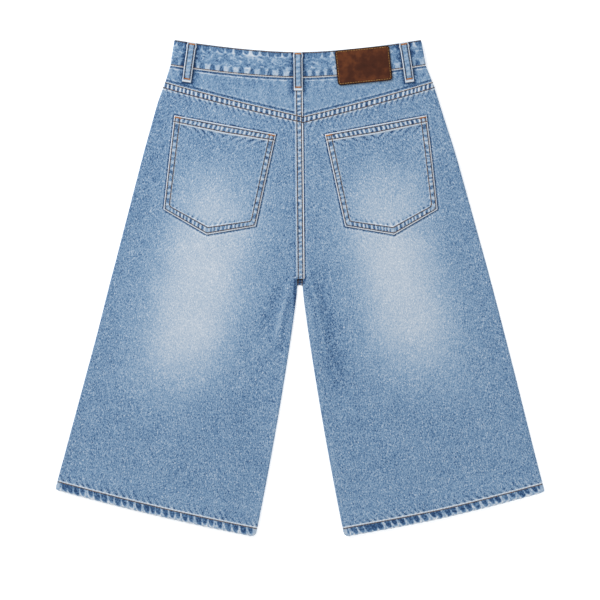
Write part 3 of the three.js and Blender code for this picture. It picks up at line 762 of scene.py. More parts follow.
def hem_relief(side, rows, seed):
    """What the hem's twist adds to the cloth: its height and its tone."""
    h = rows.from_hem
    along = -side * rows.inset
    below_row = HEM_ROW - 0.0008 - h
    lengthwise = along - 0.35 * below_row
    dark, rim = hollows(lengthwise, below_row, *HEM_HOLLOWS, seed)
    nick_at = lengthwise + 0.2 * below_row
    nick, nick_rim = hollows(nick_at, below_row, *HEM_NICKS, seed + 3)
    patchy = drift(lengthwise, h * 1.4, 0.0024, seed + 2)
    slant = uneven(along + 0.9 * h, HEM_SLANT_PITCH, seed + 1)
    band = between(h, 0.0004, HEM_ROW - 0.0006, 0.0008)
    above = between(h, HEM_ROW + 0.0026, 0.06, 0.0010)
    fading = np.maximum(0, h - HEM_HEIGHT - 0.002)
    height = HEM_RAISE * up_to(h, HEM_HEIGHT, 0.0012) - 0.0007 * dark * band
    height = height - 0.0006 * hump(h - HEM_ROW, 0.0008)
    height = height + 0.00055 * slant * above * np.exp(-np.maximum(0, h - HEM_HEIGHT) / 0.008)
    veins = np.maximum(rim, 0.7 * nick_rim) * (1 - dark)
    tone = band * (0.08 + 0.19 * patchy + 0.34 * veins - 0.24 * nick * (1 - dark) - 0.44 * dark)
    ridge = 0.46 + 0.12 * uneven(along - 0.6 * h, HEM_RIDGE_PITCH, seed + 4)
    tone = tone + ridge * between(h, HEM_ROW + 0.0006, HEM_ROW + 0.0030, 0.0008)
    worn_fold = 0.30 + 0.12 * patchy - 0.30 * ease(2 * patchy - 0.2)
    tone = tone + worn_fold * up_to(h, 0.0014, 0.0008)
    tone = tone - 0.52 * ease(-2.6 * slant - 1.0) * above * np.exp(-fading / 0.0042)
    tone = tone + 0.34 * ease(3.0 * slant - 1.4) * above * np.exp(-fading / 0.0055)
    ends = np.minimum(rows.inset, rows.from_centre)
    return height, mix(tone, 0.26 + 0.15 * patchy, up_to(ends, 0.006, 0.002) * band)


POCKET_CORNERS = {
    "outer_top": (0.1952, 0.2674),
    "inner_top": (0.0378, 0.2380),
    "outer_foot": (0.2120, 0.1218),
    "point": (0.1454, 0.0826),
    "inner_foot": (0.0694, 0.0956),
}
POCKET_MIDDLE_X = 0.0006
POCKET_RING = ["outer_top", "inner_top", "inner_foot", "point", "outer_foot"]


def outside_pocket(side, x, y):
    """How far a place is outside the pocket's outline, and less than 0 inside it."""
    px = x - side * (lean_at(y) + POCKET_MIDDLE_X)
    farthest = np.full(np.shape(px), -1.0)
    for a, b in zip(POCKET_RING, POCKET_RING[1:] + POCKET_RING[:1]):
        (ax, ay), (bx, by) = POCKET_CORNERS[a], POCKET_CORNERS[b]
        run = math.hypot(bx - ax, by - ay)
        farthest = np.maximum(farthest, ((px - ax) * (by - ay) - (y - ay) * (bx - ax)) / run)
    return farthest


def centre_lap(e, y, height, tone, seed):
    """The lapped centre seam, by the distance in from its folded edge, with painted shade in its
    stitch grooves and along the foot of its raised edge.
    """
    blotch = uneven(y + 0.3 * e, LAP_PITCH, seed + 3, 0.4) + 0.6 * drift(e, y, 0.0026, seed + 4)
    height = height + 0.00025 * blotch * between(e, 0.0005, 0.0125, 0.001)
    tone = mix(tone, 0.58 + 0.36 * np.clip(blotch, -1, 0.9), between(e, 0.0030, 0.0090, 0.0006))
    tone = mix(tone, 1.0, up_to(e, 0.0016, 0.0005))
    # Painted shade in the grooves of the two stitch rows
    for row in CENTRE_ROWS:
        tone = mix(tone, 0.20, 0.85 * between(e, row - 0.0007, row + 0.0007, 0.0005))
        height = height - 0.0002 * hump(e - row, 0.0007)
    tone = mix(tone, 0.78, between(e, 0.0107, 0.0130, 0.0008))
    # The last term is painted shade along the foot of the lap's raised edge
    return height, tone - 0.14 * between(e, 0.0136, 0.0165, 0.001)


def back_panel(side):
    seed = 100 if side < 0 else 200

    def down(total):
        seat = YOKE_CENTRE_Y - BACK_CROTCH_Y
        fine = [(0.0, 0.018, 0.0008), (0.018, seat, 0.0019), (seat - 0.002, seat + 0.001, 0.0006)]
        return stations(total, 0.0045, [*fine, (total - 0.022, total, 0.0009)])

    top = (YOKE_SIDE_Y, YOKE_CENTRE_Y, centre_back_x(side))
    rows = LegRows(top, BACK_CROTCH_Y, back_inseam_half, down, BACK_STEP, YOKE_SAG)
    x, y = rows.x, rows.y
    d = rows.from_top * np.cos(math.atan2(YOKE_SIDE_Y - YOKE_CENTRE_Y, HIP_HALF))
    seat = ~rows.on_leg
    # The streaks add worn pale marks and painted shade in the creases and beside the crotch's parting
    tone = PLAIN_TONE + thigh_tone(side, x, y) + streak_tone(side, x, y)
    hip = HIP_SHADES[side] * hump(from_side(x, y) - 0.018, 0.022)
    tone = tone + ease((y - 0.05) / 0.1) * (0.022 - hip)
    tone = tone + 0.02 * drift(x, y, 0.03, seed + 9)
    height = 0.00018 * drift(x, y, 0.035, seed + 8)

    # The felled top edge
    stripes = uneven(side * x + 0.1 * d, FELL_PITCH, seed, 0.24)
    pulled = uneven(side * x + 0.5 * side * d, PULL_PITCH, seed + 1)
    inside = between(d, 0.0022, 0.0090, 0.0007)
    fell = 1 - ease((d - FELL_WIDTH) / FELL_STEP)
    height = height + FELL_RAISE * fell + 0.00035 * stripes * between(d, 0.0006, 0.0104, 0.001)
    below = between(d, FELL_WIDTH, 0.05, 0.001) * np.exp(-np.maximum(0, d - FELL_WIDTH) / 0.008)
    height = height + 0.0005 * pulled * below
    tone = mix(tone, 0.48 + 0.42 * np.clip(1.7 * stripes, -1, 1), inside)
    tone = mix(tone, 0.96, up_to(d, 0.0012, 0.0005))
    # Painted shade in the grooves of the felled edge's two stitch rows
    for start in FELL_SHADES:
        tone = mix(tone, ROW_SHADE_TONE, 0.85 * between(d, start, start + FELL_SHADE_WIDTH, 0.0004))
    fleck = ease(0.75 + 0.8 * pulled)
    tone = mix(tone, 0.92, fleck * between(d, 0.0103, 0.0124, 0.0006))
    fading = between(d, FELL_FOOT, 0.06, 0.001) * np.exp(-np.maximum(0, d - FELL_FOOT) / 0.0045)
    tone = tone + fading * (0.18 * ease(1.8 * pulled - 0.3) - 0.36 * ease(-1.9 * pulled - 0.4))

    # The centre seam: lapped on the left half, and the shadow beside the lap on the right
    e = np.where(seat, rows.from_centre, 1.0)
    if side < 0:
        lapped = (1 - ease((e - 2 * FELL_HALF) / FELL_STEP)) * (1 - 0.6 * fell)
        lap_height, lap_tone = centre_lap(e, y, height, tone, seed)
        height = mix(lap_height, height, fell) + FELL_RAISE * lapped
        tone = mix(lap_tone, tone, fell)
    else:
        tone = mix(tone, SHADOW_TONE, up_to(e, 0.0017, 0.0006))
        tone = tone + 0.16 * between(e, 0.0024, 0.0042, 0.001) * (1 - fell)

    # The shadow round the pocket, and the legs' edges
    o = outside_pocket(side, x, y)
    tone = mix(tone, SHADOW_TONE, 0.95 * between(o, -0.003, 0.0020, 0.0010))
    tone = tone + 0.10 * between(o, 0.0028, 0.0050, 0.0015)
    tone = tone - 0.05 * hump(rows.inset, 0.003) + 0.05 * hump(rows.to_inner - 0.006, 0.003)

    added, hem_tone = hem_relief(side, rows, seed + 20)
    wave = HEM_WAVE * uneven(rows.inset, 0.0112, seed + 20)
    rows.y = rows.y + wave * ease(1 - rows.from_hem / 0.010)
    tone = np.where(rows.from_hem < HEM_REACH, tone + hem_tone, tone)
    nearest = np.minimum(rows.from_edge, from_side(x, y))
    z = back_top(side, x, y, rows.from_hem, nearest) + height + added
    ply = np.where(rows.from_hem < HEM_HEIGHT, HEM_PLY, PLY) + height + added
    outer, inner = rows.wall(side, 1, z, ply)
    return outer, inner, tone, rows


def outline_area(points):
    """The area in plan that a grid of points covers."""
    ring = np.vstack([points[0, :], points[1:, -1], points[-1, -2::-1], points[-2:0:-1, 0]])[:, :2]
    ahead = np.roll(ring, -1, axis=0)
    return abs(float(np.sum(ring[:, 0] * ahead[:, 1] - ring[:, 1] * ahead[:, 0]))) / 2


SIDES = {-1: "left", 1: "right"}
cloth = {}
leg_rows = {}


def dress(piece, node, area=None):
    """Puts a piece in place of its solid and keeps it for sewing on."""
    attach(piece, "root")
    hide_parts(node)
    cloth[node] = piece


def lay_panel(node, cut, rests_on, outer, inner, tone, **more):
    """A flat panel from its two sides, dressed in place of its solid."""
    piece = cloth_wall(f"{node}_cloth", outer, inner, tone, **more)
    dress(piece, node, round(outline_area(outer), 4))


for side, word in SIDES.items():
    outer, inner, tone, rows = back_panel(side)
    leg_rows[f"back_{word}"] = rows
    calm = HEM_CALM * up_to(rows.from_hem, 0.0165, 0.003)
    lay_panel(f"back_{word}", BACK_CUT, [f"front_{word}_cloth"], outer, inner, tone, calm=calm)


# Yokes
#
# Each half's yoke lies between the waistband and the back panel, whose felled edge laps over it. The
# left one carries the top of the lapped centre seam.

YOKE_TONE, YOKE_CALM = 0.475, 0.22
YOKE_COLUMNS = 190
GATHER_PITCH = 0.0125
YOKE_CUT = (0.222, 0.080)

BAND_PLY = 0.0026
BAND_UNDER = 0.0023
BAND_HOLLOW = 0.0006
BAND_TOP = BAND_UNDER + 2 * BAND_PLY + BAND_HOLLOW

LOOP_WIDTH, LOOP_PLY = 0.0138, 0.0016
LOOP_END, LOOP_END_PLY, LOOP_TURN, LOOP_SLACK = 0.006, 0.0024, 0.002, 0.0013
FRONT_LOOP_PLY = 0.002
# Each loop: its name, x at the top and at the foot, length, and whether it is on the front
LOOPS = [
    ("loop_back_centre", 0.0, 0.0, 0.0600, False),
    ("loop_back_left", -0.1636, -0.1730, 0.0624, False),
    ("loop_back_right", 0.1636, 0.1730, 0.0624, False),
    ("loop_front_left", -0.100, -0.100, 0.0600, True),
    ("loop_front_right", 0.100, 0.100, 0.0600, True),
]


def loop_top_y(x, front):
    return float((front_band_top if front else back_band_top)(x))


def outside_loops(x, y, front=False):
    """How far a place on the waist is outside the nearest belt loop."""
    nearest = np.full(np.shape(x), 1.0)
    for _, top_x, foot_x, length, on_front in LOOPS:
        if on_front == front:
            top_y = loop_top_y(top_x, front)
            middle = mix(top_x, foot_x, (top_y - y) / length)
            sideways = np.abs(x - middle) - LOOP_WIDTH / 2
            nearest = np.minimum(nearest, np.maximum(sideways, top_y - length - y))
    return nearest


def yoke(side):
    seed = 300 if side < 0 else 400
    start = centre_back_x(side)
    radius = float(roll_radius(YOKE_SIDE_Y))
    t = stations(1.0, 0.03, [(0, 0.12, 0.012), (0.88, 1, 0.012)])[:, None]
    side_y = mix(float(back_band_foot(WAIST_HALF)) - SEAM_GAP, YOKE_SIDE_Y + SEAM_GAP, t)
    width = side_half(side_y) - start
    inset = in_from_roll(radius, width, YOKE_COLUMNS)
    x = side_half(side_y) - inset
    y = mix(back_band_foot(x) - SEAM_GAP, yoke_seam_y(side, x) + SEAM_GAP, t)
    from_band = back_band_foot(x) - SEAM_GAP - y
    from_seam = (y - yoke_seam_y(side, x) - SEAM_GAP) * YOKE_SEAM_COS
    e = x - start
    tone = YOKE_TONE + 0.035 * drift(x, y, 0.02, seed + 5)
    tone = tone + 0.05 * drift(x + y, y - x, 0.005, seed + 7)
    height = 0.00015 * drift(x, y, 0.03, seed + 6)
    drawn = uneven(x + 0.25 * from_band, GATHER_PITCH, seed)
    pulled = uneven(x - 0.5 * from_seam, PULL_PITCH, seed + 1)
    height = height + 0.0003 * drawn * np.exp(-from_band / 0.007)
    height = height + 0.00028 * pulled * np.exp(-from_seam / 0.006)
    gathers = (0.2 * drawn - 0.05) * between(from_band, 0.0045, 0.04, 0.002)
    tone = tone + gathers * np.exp(-from_band / 0.009)
    tone = tone + 0.12 * pulled * np.exp(-from_seam / 0.007)
    fray = ease(0.85 + 0.5 * drawn + 0.4 * drift(x, y, 0.0024, seed + 8))
    tone = tone + 0.36 * hump(from_band - 0.0038, 0.0011) * fray
    tone = tone + 0.20 * hump(from_seam - 0.0054, 0.0013) * ease(0.7 + 0.6 * pulled)
    loops = outside_loops(side * x, y)
    # Painted shadow beside and below each belt loop, soft and then crisp at its edge
    tone = tone - 0.30 * hump(loops - 0.001, 0.0060)
    tone = mix(tone, 0.0, 0.92 * between(loops, -0.004, 0.0023, 0.0012))
    # Painted shade below the waistband's foot and above the back panel's felled edge
    tone = mix(tone, SEAM_SHADE_TONE, 0.92 * between(from_band, 0.0002, 0.0026, 0.0010))
    tone = mix(tone, SEAM_SHADE_TONE, 0.92 * between(from_seam, 0.0014, 0.0038, 0.0012))
    height = height - 0.0004 * (hump(from_band - 0.0014, 0.0010) + hump(from_seam - 0.0026, 0.0010))
    band = 0
    if side < 0:
        band = FELL_RAISE * (1 - ease((e - 2 * FELL_HALF) / FELL_STEP))
        height, tone = centre_lap(e, y, height, tone, seed)
    else:
        # Painted shadow beside the left half's lap
        tone = mix(tone, SEAM_SHADE_TONE, up_to(e, 0.0015, 0.0006))
    z = back_top(side, x, y) + band + height
    outer, inner = rolled(side, x, y, z, PLY + band, 1, inset, radius, SIDE_WAY)
    return outer, inner, tone


for side, word in SIDES.items():
    lay_panel(f"yoke_{word}", YOKE_CUT, [f"front_{word}_cloth"], *yoke(side), calm=YOKE_CALM)


# Waistband
#
# One strip folded double and sewn on all round, from its button end, round the back, to its
# buttonhole end. Its top edge is stitched close to the fold and its foot close to the seam. Between
# the rows the washed cloth has roped up into pale crests with full-dyed hollows.

BAND_SLIT_X = 0.014
BAND_ROWS = (0.0015, 0.0385)  # the stitch rows below the top edge
BAND_EDGE = 0.0009
BAND_CALM = 0.42
TOP_HOLLOWS = (0.0138, 0.0062, 0.0082)  # pitch, half width and reach
FOOT_HOLLOWS = (0.0146, 0.0044, 0.0102)


def bar(name, rings, tones, material, calm):
    """A closed bar from rings of points, with a flat face at each end."""
    count, size = rings.shape[:2]
    grid = np.arange(count * size).reshape(count, size)
    around = np.roll(grid, -1, axis=1)
    quads = np.stack([grid[:-1], around[:-1], around[1:], grid[1:]], axis=-1)
    faces = [*quads.reshape(-1, 4).tolist(), grid[0].tolist(), grid[-1][::-1].tolist()]
    points = rings.reshape(-1, 3).tolist()
    return finish_mesh(name, points, faces, material, tones.reshape(-1), calm)


def rounded_edge(distance, size):
    """How far a surface has dropped at this distance from an edge of this rounding."""
    near = np.clip(1 - distance / size, 0, 1)
    return size * (1 - np.sqrt(1 - near**2))


def waistband():
    half = BAND_PLY / 2
    fold = (BAND_HOLLOW + BAND_PLY) / 2
    middle_z = BAND_UNDER + BAND_PLY + BAND_HOLLOW / 2
    reach_in = fold + half
    slit = BAND_SLIT_X / (FOOT_HALF - reach_in)
    gap = SEAM_GAP / (FOOT_HALF - reach_in)
    front, back, bend = 120, 360, 11
    turning = np.linspace(0, np.pi, bend + 2)[1:-1]
    across = [np.linspace(slit + gap, 1, front), np.ones(bend), np.linspace(1, -1, back)]
    across = np.concatenate([*across, -np.ones(bend), np.linspace(-1, slit, front)])[:, None]
    turn = [np.zeros(front), turning, np.full(back, np.pi), turning[::-1], np.zeros(front)]
    turn = np.concatenate(turn)[:, None]
    foot_x = across * (FOOT_HALF - reach_in)
    top_x = across * (WAIST_HALF - reach_in)
    outward = np.sign(across) * np.sin(turn)
    at = foot_x + outward * fold
    foot_y = mix(front_band_foot(at), back_band_foot(at), ease(turn / np.pi))
    rounded = fold * np.diff(turn[:, 0], prepend=0)
    s = np.cumsum(np.hypot(np.diff(foot_x[:, 0], prepend=foot_x[0, 0]), rounded))[:, None]

    h = stations(BAND_HEIGHT, 0.0010)[None, :]
    top = BAND_HEIGHT - h
    wander = 0.0009 * drift(s, h, 0.006, 16)
    dark_up, rim_up = hollows(s + wander, top - BAND_ROWS[0] - 0.0006, *TOP_HOLLOWS, 11)
    dark_low, rim_low = hollows(s - wander, BAND_ROWS[1] - 0.0006 - top, *FOOT_HOLLOWS, 12)
    middle = between(top, 0.0085, 0.0300, 0.006)
    rising = drift(s + 1.2 * h, 2.2 * h - 0.7 * s, 0.0090, 14) + 0.10 * drift(s, h, 0.003, 17)
    falling = drift(s - 1.0 * h, 2.4 * h + 0.5 * s, 0.0085, 15) + 0.10 * drift(s, h, 0.003, 18)
    ropes = 0.36 * hump(rising, 0.16) - 0.19 * hump(falling, 0.12)
    marble = 0.10 * drift(s, h * 1.3, 0.0052, 13) + ropes * (0.25 + 0.75 * middle)
    pale = 0.28 * between(top, 0.002, 0.0095, 0.003) + 0.30 * between(h, 0.002, 0.0110, 0.003)
    height = 0.0007 * ropes * middle - 0.0006 * (dark_up + dark_low) + 0.0002 * (rim_up + rim_low)
    height = height - 0.0003 * grooves(top, BAND_ROWS, 0.0006)
    height = height * between(top, 0.0006, BAND_HEIGHT - 0.0006, 0.0008)
    tone = 0.40 + marble + pale + 0.10 * rim_up
    tone = mix(tone, 0.15 + 0.2 * marble, 0.95 * np.maximum(dark_up, dark_low))
    x = mix(foot_x, top_x, h / BAND_HEIGHT)
    on_front = turn < np.pi / 2
    loops = np.where(on_front, outside_loops(x, foot_y + h, True), outside_loops(x, foot_y + h))
    # Painted shadow beside each belt loop, soft and then crisp at its edge
    tone = tone - 0.32 * hump(loops - 0.001, 0.0055)
    tone = mix(tone, 0.0, 0.88 * between(loops, -0.004, 0.0019, 0.0012))
    tone = mix(tone, 0.70, up_to(top, 0.0008, 0.0005))
    tone = mix(tone, 1.0, up_to(h, 0.0013, 0.0005))

    n = half - rounded_edge(np.minimum(h, top), BAND_EDGE)
    n = n + np.where(np.sin(turn) > 0.01, 0, height)
    reach = fold + n
    outer = points_at(x + outward * reach, foot_y + h, middle_z - reach * np.cos(turn))
    back_h = [BAND_HEIGHT, BAND_HEIGHT - BAND_EDGE, BAND_HEIGHT / 2, BAND_EDGE, 0]
    back_h = np.array(back_h)[None, :]
    back_n = -half + rounded_edge(np.minimum(back_h, BAND_HEIGHT - back_h), BAND_EDGE)
    reach = fold + back_n
    x = mix(foot_x, top_x, back_h / BAND_HEIGHT) + outward * reach
    inner = points_at(x, foot_y + back_h, middle_z - reach * np.cos(turn))
    rings = np.concatenate([outer, inner], axis=1)
    rings[..., 0] -= lean_at(rings[..., 1])
    tones = np.concatenate([tone, np.full(inner.shape[:2], INSIDE_TONE)], axis=1)
    return rings, tones, float(s[-1, 0])


rings, tones, band_length = waistband()
piece = bar("waistband_cloth", rings, tones, denim, BAND_CALM)
dress(piece, "waistband")


# Back pockets
#
# Five-cornered patch pockets with a hemmed mouth. Their sides and foot are turned in and sewn down
# with two rows of stitches, and rubbing has bleached their edges and the middle of their feet.

POCKET_HEM = 0.0115
POCKET_TURNING = 0.0104
POCKET_HEM_RAISE = 0.0012
POCKET_TURNING_RAISE = 0.0007
POCKET_ROWS = (0.0023, 0.0094)  # in from the sides and the foot
MOUTH_ROWS = (0.0025, 0.0094)  # down from the mouth
POCKET_WORN_X, POCKET_WORN_HALF = 0.139, 0.066
POCKET_TONE = 0.455
MOUTH_PITCH, FOOT_PITCH, PIT_PITCH = 0.0071, 0.0067, 0.0082
POCKET_STEP, POCKET_EDGE_STEP = 0.0013, 0.0008
POCKET_CUT = (0.175, 0.186)


def pocket_frame():
    """The pocket's width and height, and the share of its width at which its point lies."""
    c = POCKET_CORNERS
    outer_foot = math.dist(c["point"], c["outer_foot"])
    inner_foot = math.dist(c["point"], c["inner_foot"])
    width = math.dist(c["outer_top"], c["inner_top"])
    return width, math.dist(c["outer_top"], c["outer_foot"]), outer_foot / (outer_foot + inner_foot)


def pocket_place(side, across, down):
    """The place on the shorts at these distances from the pocket's outer top corner."""
    width, height, kink = pocket_frame()
    c = {name: np.array(corner) for name, corner in POCKET_CORNERS.items()}
    u = np.asarray(across)[..., None] / width
    t = np.asarray(down)[..., None] / height
    top = mix(c["outer_top"], c["inner_top"], u)
    foot_outer = mix(c["outer_foot"], c["point"], u / kink)
    foot_inner = mix(c["point"], c["inner_foot"], (u - kink) / (1 - kink))
    place = mix(top, np.where(u < kink, foot_outer, foot_inner), t)
    y = place[..., 1]
    return place[..., 0] + side * (lean_at(y) + POCKET_MIDDLE_X), y


def back_pocket(side):
    seed = 500 if side < 0 else 600
    width, height, kink = pocket_frame()
    fine = [(0, 0.0125, POCKET_EDGE_STEP)]
    first = stations(width * kink, POCKET_STEP, fine)
    second = width - stations(width * (1 - kink), POCKET_STEP, fine)[::-1]
    across = np.concatenate([first, second[1:]])[None, :]
    fine = [(0, 0.0150, POCKET_EDGE_STEP), (height - 0.0140, height, POCKET_EDGE_STEP)]
    down = stations(height, POCKET_STEP, fine)[:, None]
    x, y = pocket_place(side, across, down)
    sides = np.minimum(across, width - across)
    foot = height - down
    edge = np.minimum(sides, foot)
    along = np.where(sides < foot, down, across + 0.3)
    turning = ease((POCKET_TURNING + FELL_STEP - edge) / FELL_STEP)
    hem = ease((POCKET_HEM + FELL_STEP - down) / FELL_STEP)
    border = between(edge, POCKET_ROWS[0] + 0.0005, POCKET_ROWS[1] - 0.0005, 0.0007)
    mouth = between(down, MOUTH_ROWS[0] + 0.0005, MOUTH_ROWS[1] - 0.0004, 0.0007)
    patchy = 0.80 + 0.20 * drift(across, down, 0.012, seed + 7)
    blotch = 0.7 * uneven(along + 0.3 * edge, PULL_PITCH, seed, 0.5)
    blotch = blotch + 0.6 * drift(along, edge, 0.0042, seed + 6)
    stripes = uneven(across + 0.25 * down, MOUTH_PITCH, seed + 1, 0.18)
    drawn = uneven(along - 0.6 * edge, PULL_PITCH, seed + 2)

    tone = POCKET_TONE + 0.02 * drift(x, y, 0.025, seed + 3)
    worn = np.exp(-(np.abs((x - POCKET_WORN_X) / POCKET_WORN_HALF) ** 2.4))
    tone = tone + 0.27 * worn * ease((0.235 - y) / 0.12)
    inside = between(edge, POCKET_TURNING, 0.1, 0.001)
    inside = inside * np.exp(-np.maximum(0, edge - POCKET_TURNING) / 0.006)
    below_mouth = between(down, POCKET_HEM + 0.0010, 0.1, 0.0012)
    below_mouth = below_mouth * np.exp(-np.maximum(0, down - POCKET_HEM - 0.0010) / 0.005)
    tone = tone + inside * (0.10 * ease(1.5 * drawn) - 0.10 * ease(-1.5 * drawn))
    offset, strength, _ = spots(along, PIT_PITCH, seed + 5)
    pits = strength * hump(offset, 0.0016) * hump(edge - POCKET_TURNING - 0.0024, 0.0016)
    tone = tone - 0.42 * pits * ease((down - 0.05) / 0.06)
    tone = tone + 0.26 * hump(edge - POCKET_TURNING - 0.0005, 0.0008)
    ticks = ease(-2.4 * drawn - 0.5)
    tone = tone + below_mouth * (0.20 * ease(1.5 * drawn) - 0.50 * ticks) * (1 - turning)
    # Painted shade on the border just under the mouth's raised hem
    under_mouth = between(down, POCKET_HEM + 0.0008, 0.0205, 0.002)
    speckled = 0.52 + 0.40 * patchy * np.clip(1.6 * blotch, -1, 0.8)
    tone = mix(tone, mix(speckled, 0.20, 0.8 * under_mouth), border)
    striped = 0.50 + 0.50 * patchy * np.clip(1.7 * stripes, -0.95, 1)
    tone = mix(tone, striped, mouth * (1 - 0.35 * turning))
    puckers = 0.50 + 0.44 * np.clip(1.7 * uneven(across, FOOT_PITCH, seed + 8), -1, 1)
    plain = np.minimum(1, hump(sides, 0.0125) + hump(across - width * kink, 0.0052))
    at_foot = border * past(sides - foot, 0.0, 0.002)
    tone = mix(tone, mix(puckers, 0.66, plain), 0.8 * at_foot)
    pressed = grooves(edge, POCKET_ROWS, 0.0007) + grooves(down, MOUTH_ROWS, 0.0007)
    pressed = np.minimum(1, pressed)
    # Painted shade in the grooves of the stitch rows
    tone = mix(tone, ROW_SHADE_TONE, 0.8 * pressed)
    hem_foot = between(down, MOUTH_ROWS[1] + 0.0006, POCKET_HEM + 0.0006, 0.0006)
    tone = mix(tone, 0.88, hem_foot)
    tone = mix(tone, 1.0, up_to(np.minimum(edge, down), 0.0015, 0.0006))

    raised = np.maximum(POCKET_TURNING_RAISE * turning, POCKET_HEM_RAISE * hem)
    relief = 0.00012 * drift(x, y, 0.03, seed + 4) + 0.00025 * blotch * border
    relief = relief + 0.00032 * stripes * mouth + 0.00022 * drawn * inside
    relief = relief - 0.0002 * pressed
    under = back_top(side, x, y) + SEAM_GAP
    drop = rounded_edge(np.minimum(edge, down), 0.0008)
    outer = lay(side, x, y, under + PLY + raised + relief - drop)
    return outer, lay(side, x, y, under), tone


for side, word in SIDES.items():
    lay_panel(f"back_pocket_{word}", POCKET_CUT, [f"back_{word}_cloth"], *back_pocket(side))


# Belt loops
#
# Three narrow strips over the back of the waistband and two over its front, their ends turned under
# and held by bartacks.

LOOP_ROW = 0.0024  # the stitch rows in from each edge
LOOP_EAR, LOOP_EAR_AT, LOOP_EAR_RUN = 0.0011, 0.0066, 0.0022  # the turned-under top shows beside it
LOOP_STEP, LOOP_COLUMNS = 0.0011, 17
LOOP_CALM = 0.30
LOOP_TONE, LOOP_EDGE_TONE = 0.55, 0.94
BAND_SPAN = BAND_HEIGHT + 0.003


def loop_place(loop, d, a):
    """The place at this distance down a loop and this far to the side of its middle line."""
    _, x, foot_x, length, front = loop
    way_x = (foot_x - x) / length
    way_y = -math.sqrt(1 - way_x**2)
    return x + way_x * d - way_y * a, loop_top_y(x, front) + way_y * d + way_x * a


def belt_loop(loop, seed):
    _, x, _, length, front = loop
    d = stations(length, LOOP_STEP)[:, None]
    half = LOOP_WIDTH / 2 + (0 if front else LOOP_EAR) * hump(d - LOOP_EAR_AT, LOOP_EAR_RUN)
    a = half * np.linspace(-1, 1, LOOP_COLUMNS)[None, :]
    inset = LOOP_WIDTH / 2 - np.abs(a)
    ends = np.minimum(d, length - d)
    free = ends - LOOP_END
    edge = np.minimum(half - np.abs(a), ends)
    if front:
        ground, up = np.full(d.shape, FRONT_LOOP_PLY), -1
        thick = np.full(d.shape, FRONT_LOOP_PLY)
    else:
        foot_x, foot_y = loop_place(loop, length, 0)
        foot_top = float(back_top(1, abs(foot_x), foot_y)) + (FELL_RAISE if x == 0 else 0)
        slope = ease((d - BAND_SPAN) / (length - LOOP_END - BAND_SPAN))
        ground = mix(BAND_TOP, foot_top, slope) + SEAM_GAP
        slack = LOOP_SLACK * np.sin(np.pi * np.maximum(0, free) / (length - 2 * LOOP_END))
        thick = mix(LOOP_END_PLY, LOOP_PLY, ease(free / LOOP_TURN))
        ground, up = ground + LOOP_END_PLY - thick + slack, 1
    wrinkle = uneven(d + 0.3 * a, 0.0082, seed)
    middle = past(inset, LOOP_ROW + 0.0006, 0.0008)
    tone = LOOP_TONE + 0.12 * wrinkle * middle + 0.12 * drift(a, d, 0.005, seed + 1)
    # Painted shade in the grooves of the loop's stitch rows
    tone = mix(tone, SEAM_SHADE_TONE, 0.9 * hump(inset - LOOP_ROW - 0.0002, 0.0010))
    tone = mix(tone, LOOP_EDGE_TONE, up_to(edge, 0.0014, 0.0007))
    tone = mix(tone, LOOP_EDGE_TONE, up_to(length - d, 0.0030, 0.001))
    relief = 0.00018 * wrinkle * middle - 0.00015 * hump(inset - LOOP_ROW, 0.0006)
    relief = relief if up > 0 else -np.abs(relief)
    top = ground + up * (thick + relief - rounded_edge(edge, 0.0006))
    under = ground + up * rounded_edge(edge, 0.0004)
    outer = lay(1, *loop_place(loop, d, a), top)
    inner = lay(1, *loop_place(loop, d, a), under)[:, ::-4]
    tones = np.concatenate([tone, np.full(inner.shape[:2], INSIDE_TONE)], axis=1)
    return np.concatenate([outer, inner], axis=1), tones


for number, loop in enumerate(LOOPS):
    name, _, _, length, _ = loop
    rings, tones = belt_loop(loop, 700 + 10 * number)
    piece = bar(f"{name}_cloth", rings, tones, denim, LOOP_CALM)
    dress(piece, name)


# Leather patch
#
# A bare rectangle of dark brown cowhide with round corners, sewn on all round. Its rim is burnished
# darker and pressed down by the thread.

PATCH_MIDDLE = (0.1015, 0.3446)
PATCH_TURN = math.radians(5.8)
PATCH_WIDTH, PATCH_HEIGHT, PATCH_THICK = 0.0850, 0.0544, 0.0016
PATCH_CORNER, PATCH_BEVEL = 0.005, 0.0005
PATCH_ROW = 0.0025
PATCH_STEP, PATCH_RIM = 0.0012, 0.005


def leather_material():
    material, tree = new_material("brown_leather")
    place = place_in(tree)
    grain = tree.node("ShaderNodeTexVoronoi", None, {"Vector": place, "Scale": 900.0})
    mottle = noise(tree, place, 110.0, 4.0)
    rub = noise(tree, place, 34.0, 2.0)
    shade = attribute(tree, "tone") * 0.42 + (mottle - 0.5) * 0.7 + (rub - 0.5) * 0.7 + 0.12
    stops = [(0.0, linear(34, 16, 10)), (0.5, linear(74, 37, 22)), (1.0, linear(132, 74, 38))]
    colour = ramp(tree, shade.clamped(), stops)
    relief = bump(tree, grain * 0.7 + mottle * 0.5, 0.6, 0.00025)
    surface(tree, colour, 0.62 - mottle * 0.2, Specular_IOR_Level=0.14, Normal=relief)
    return material


def patch_place(u, v):
    """A point of the patch, given from its own middle, in plan."""
    x = PATCH_MIDDLE[0] + u * math.cos(PATCH_TURN) - v * math.sin(PATCH_TURN)
    y = PATCH_MIDDLE[1] + u * math.sin(PATCH_TURN) + v * math.cos(PATCH_TURN)
    return x - lean_at(PATCH_MIDDLE[1]), y


def patch_stations(length, rim_step):
    rims = [(0, PATCH_RIM, rim_step), (length - PATCH_RIM, length, rim_step)]
    return stations(length, PATCH_STEP, rims)


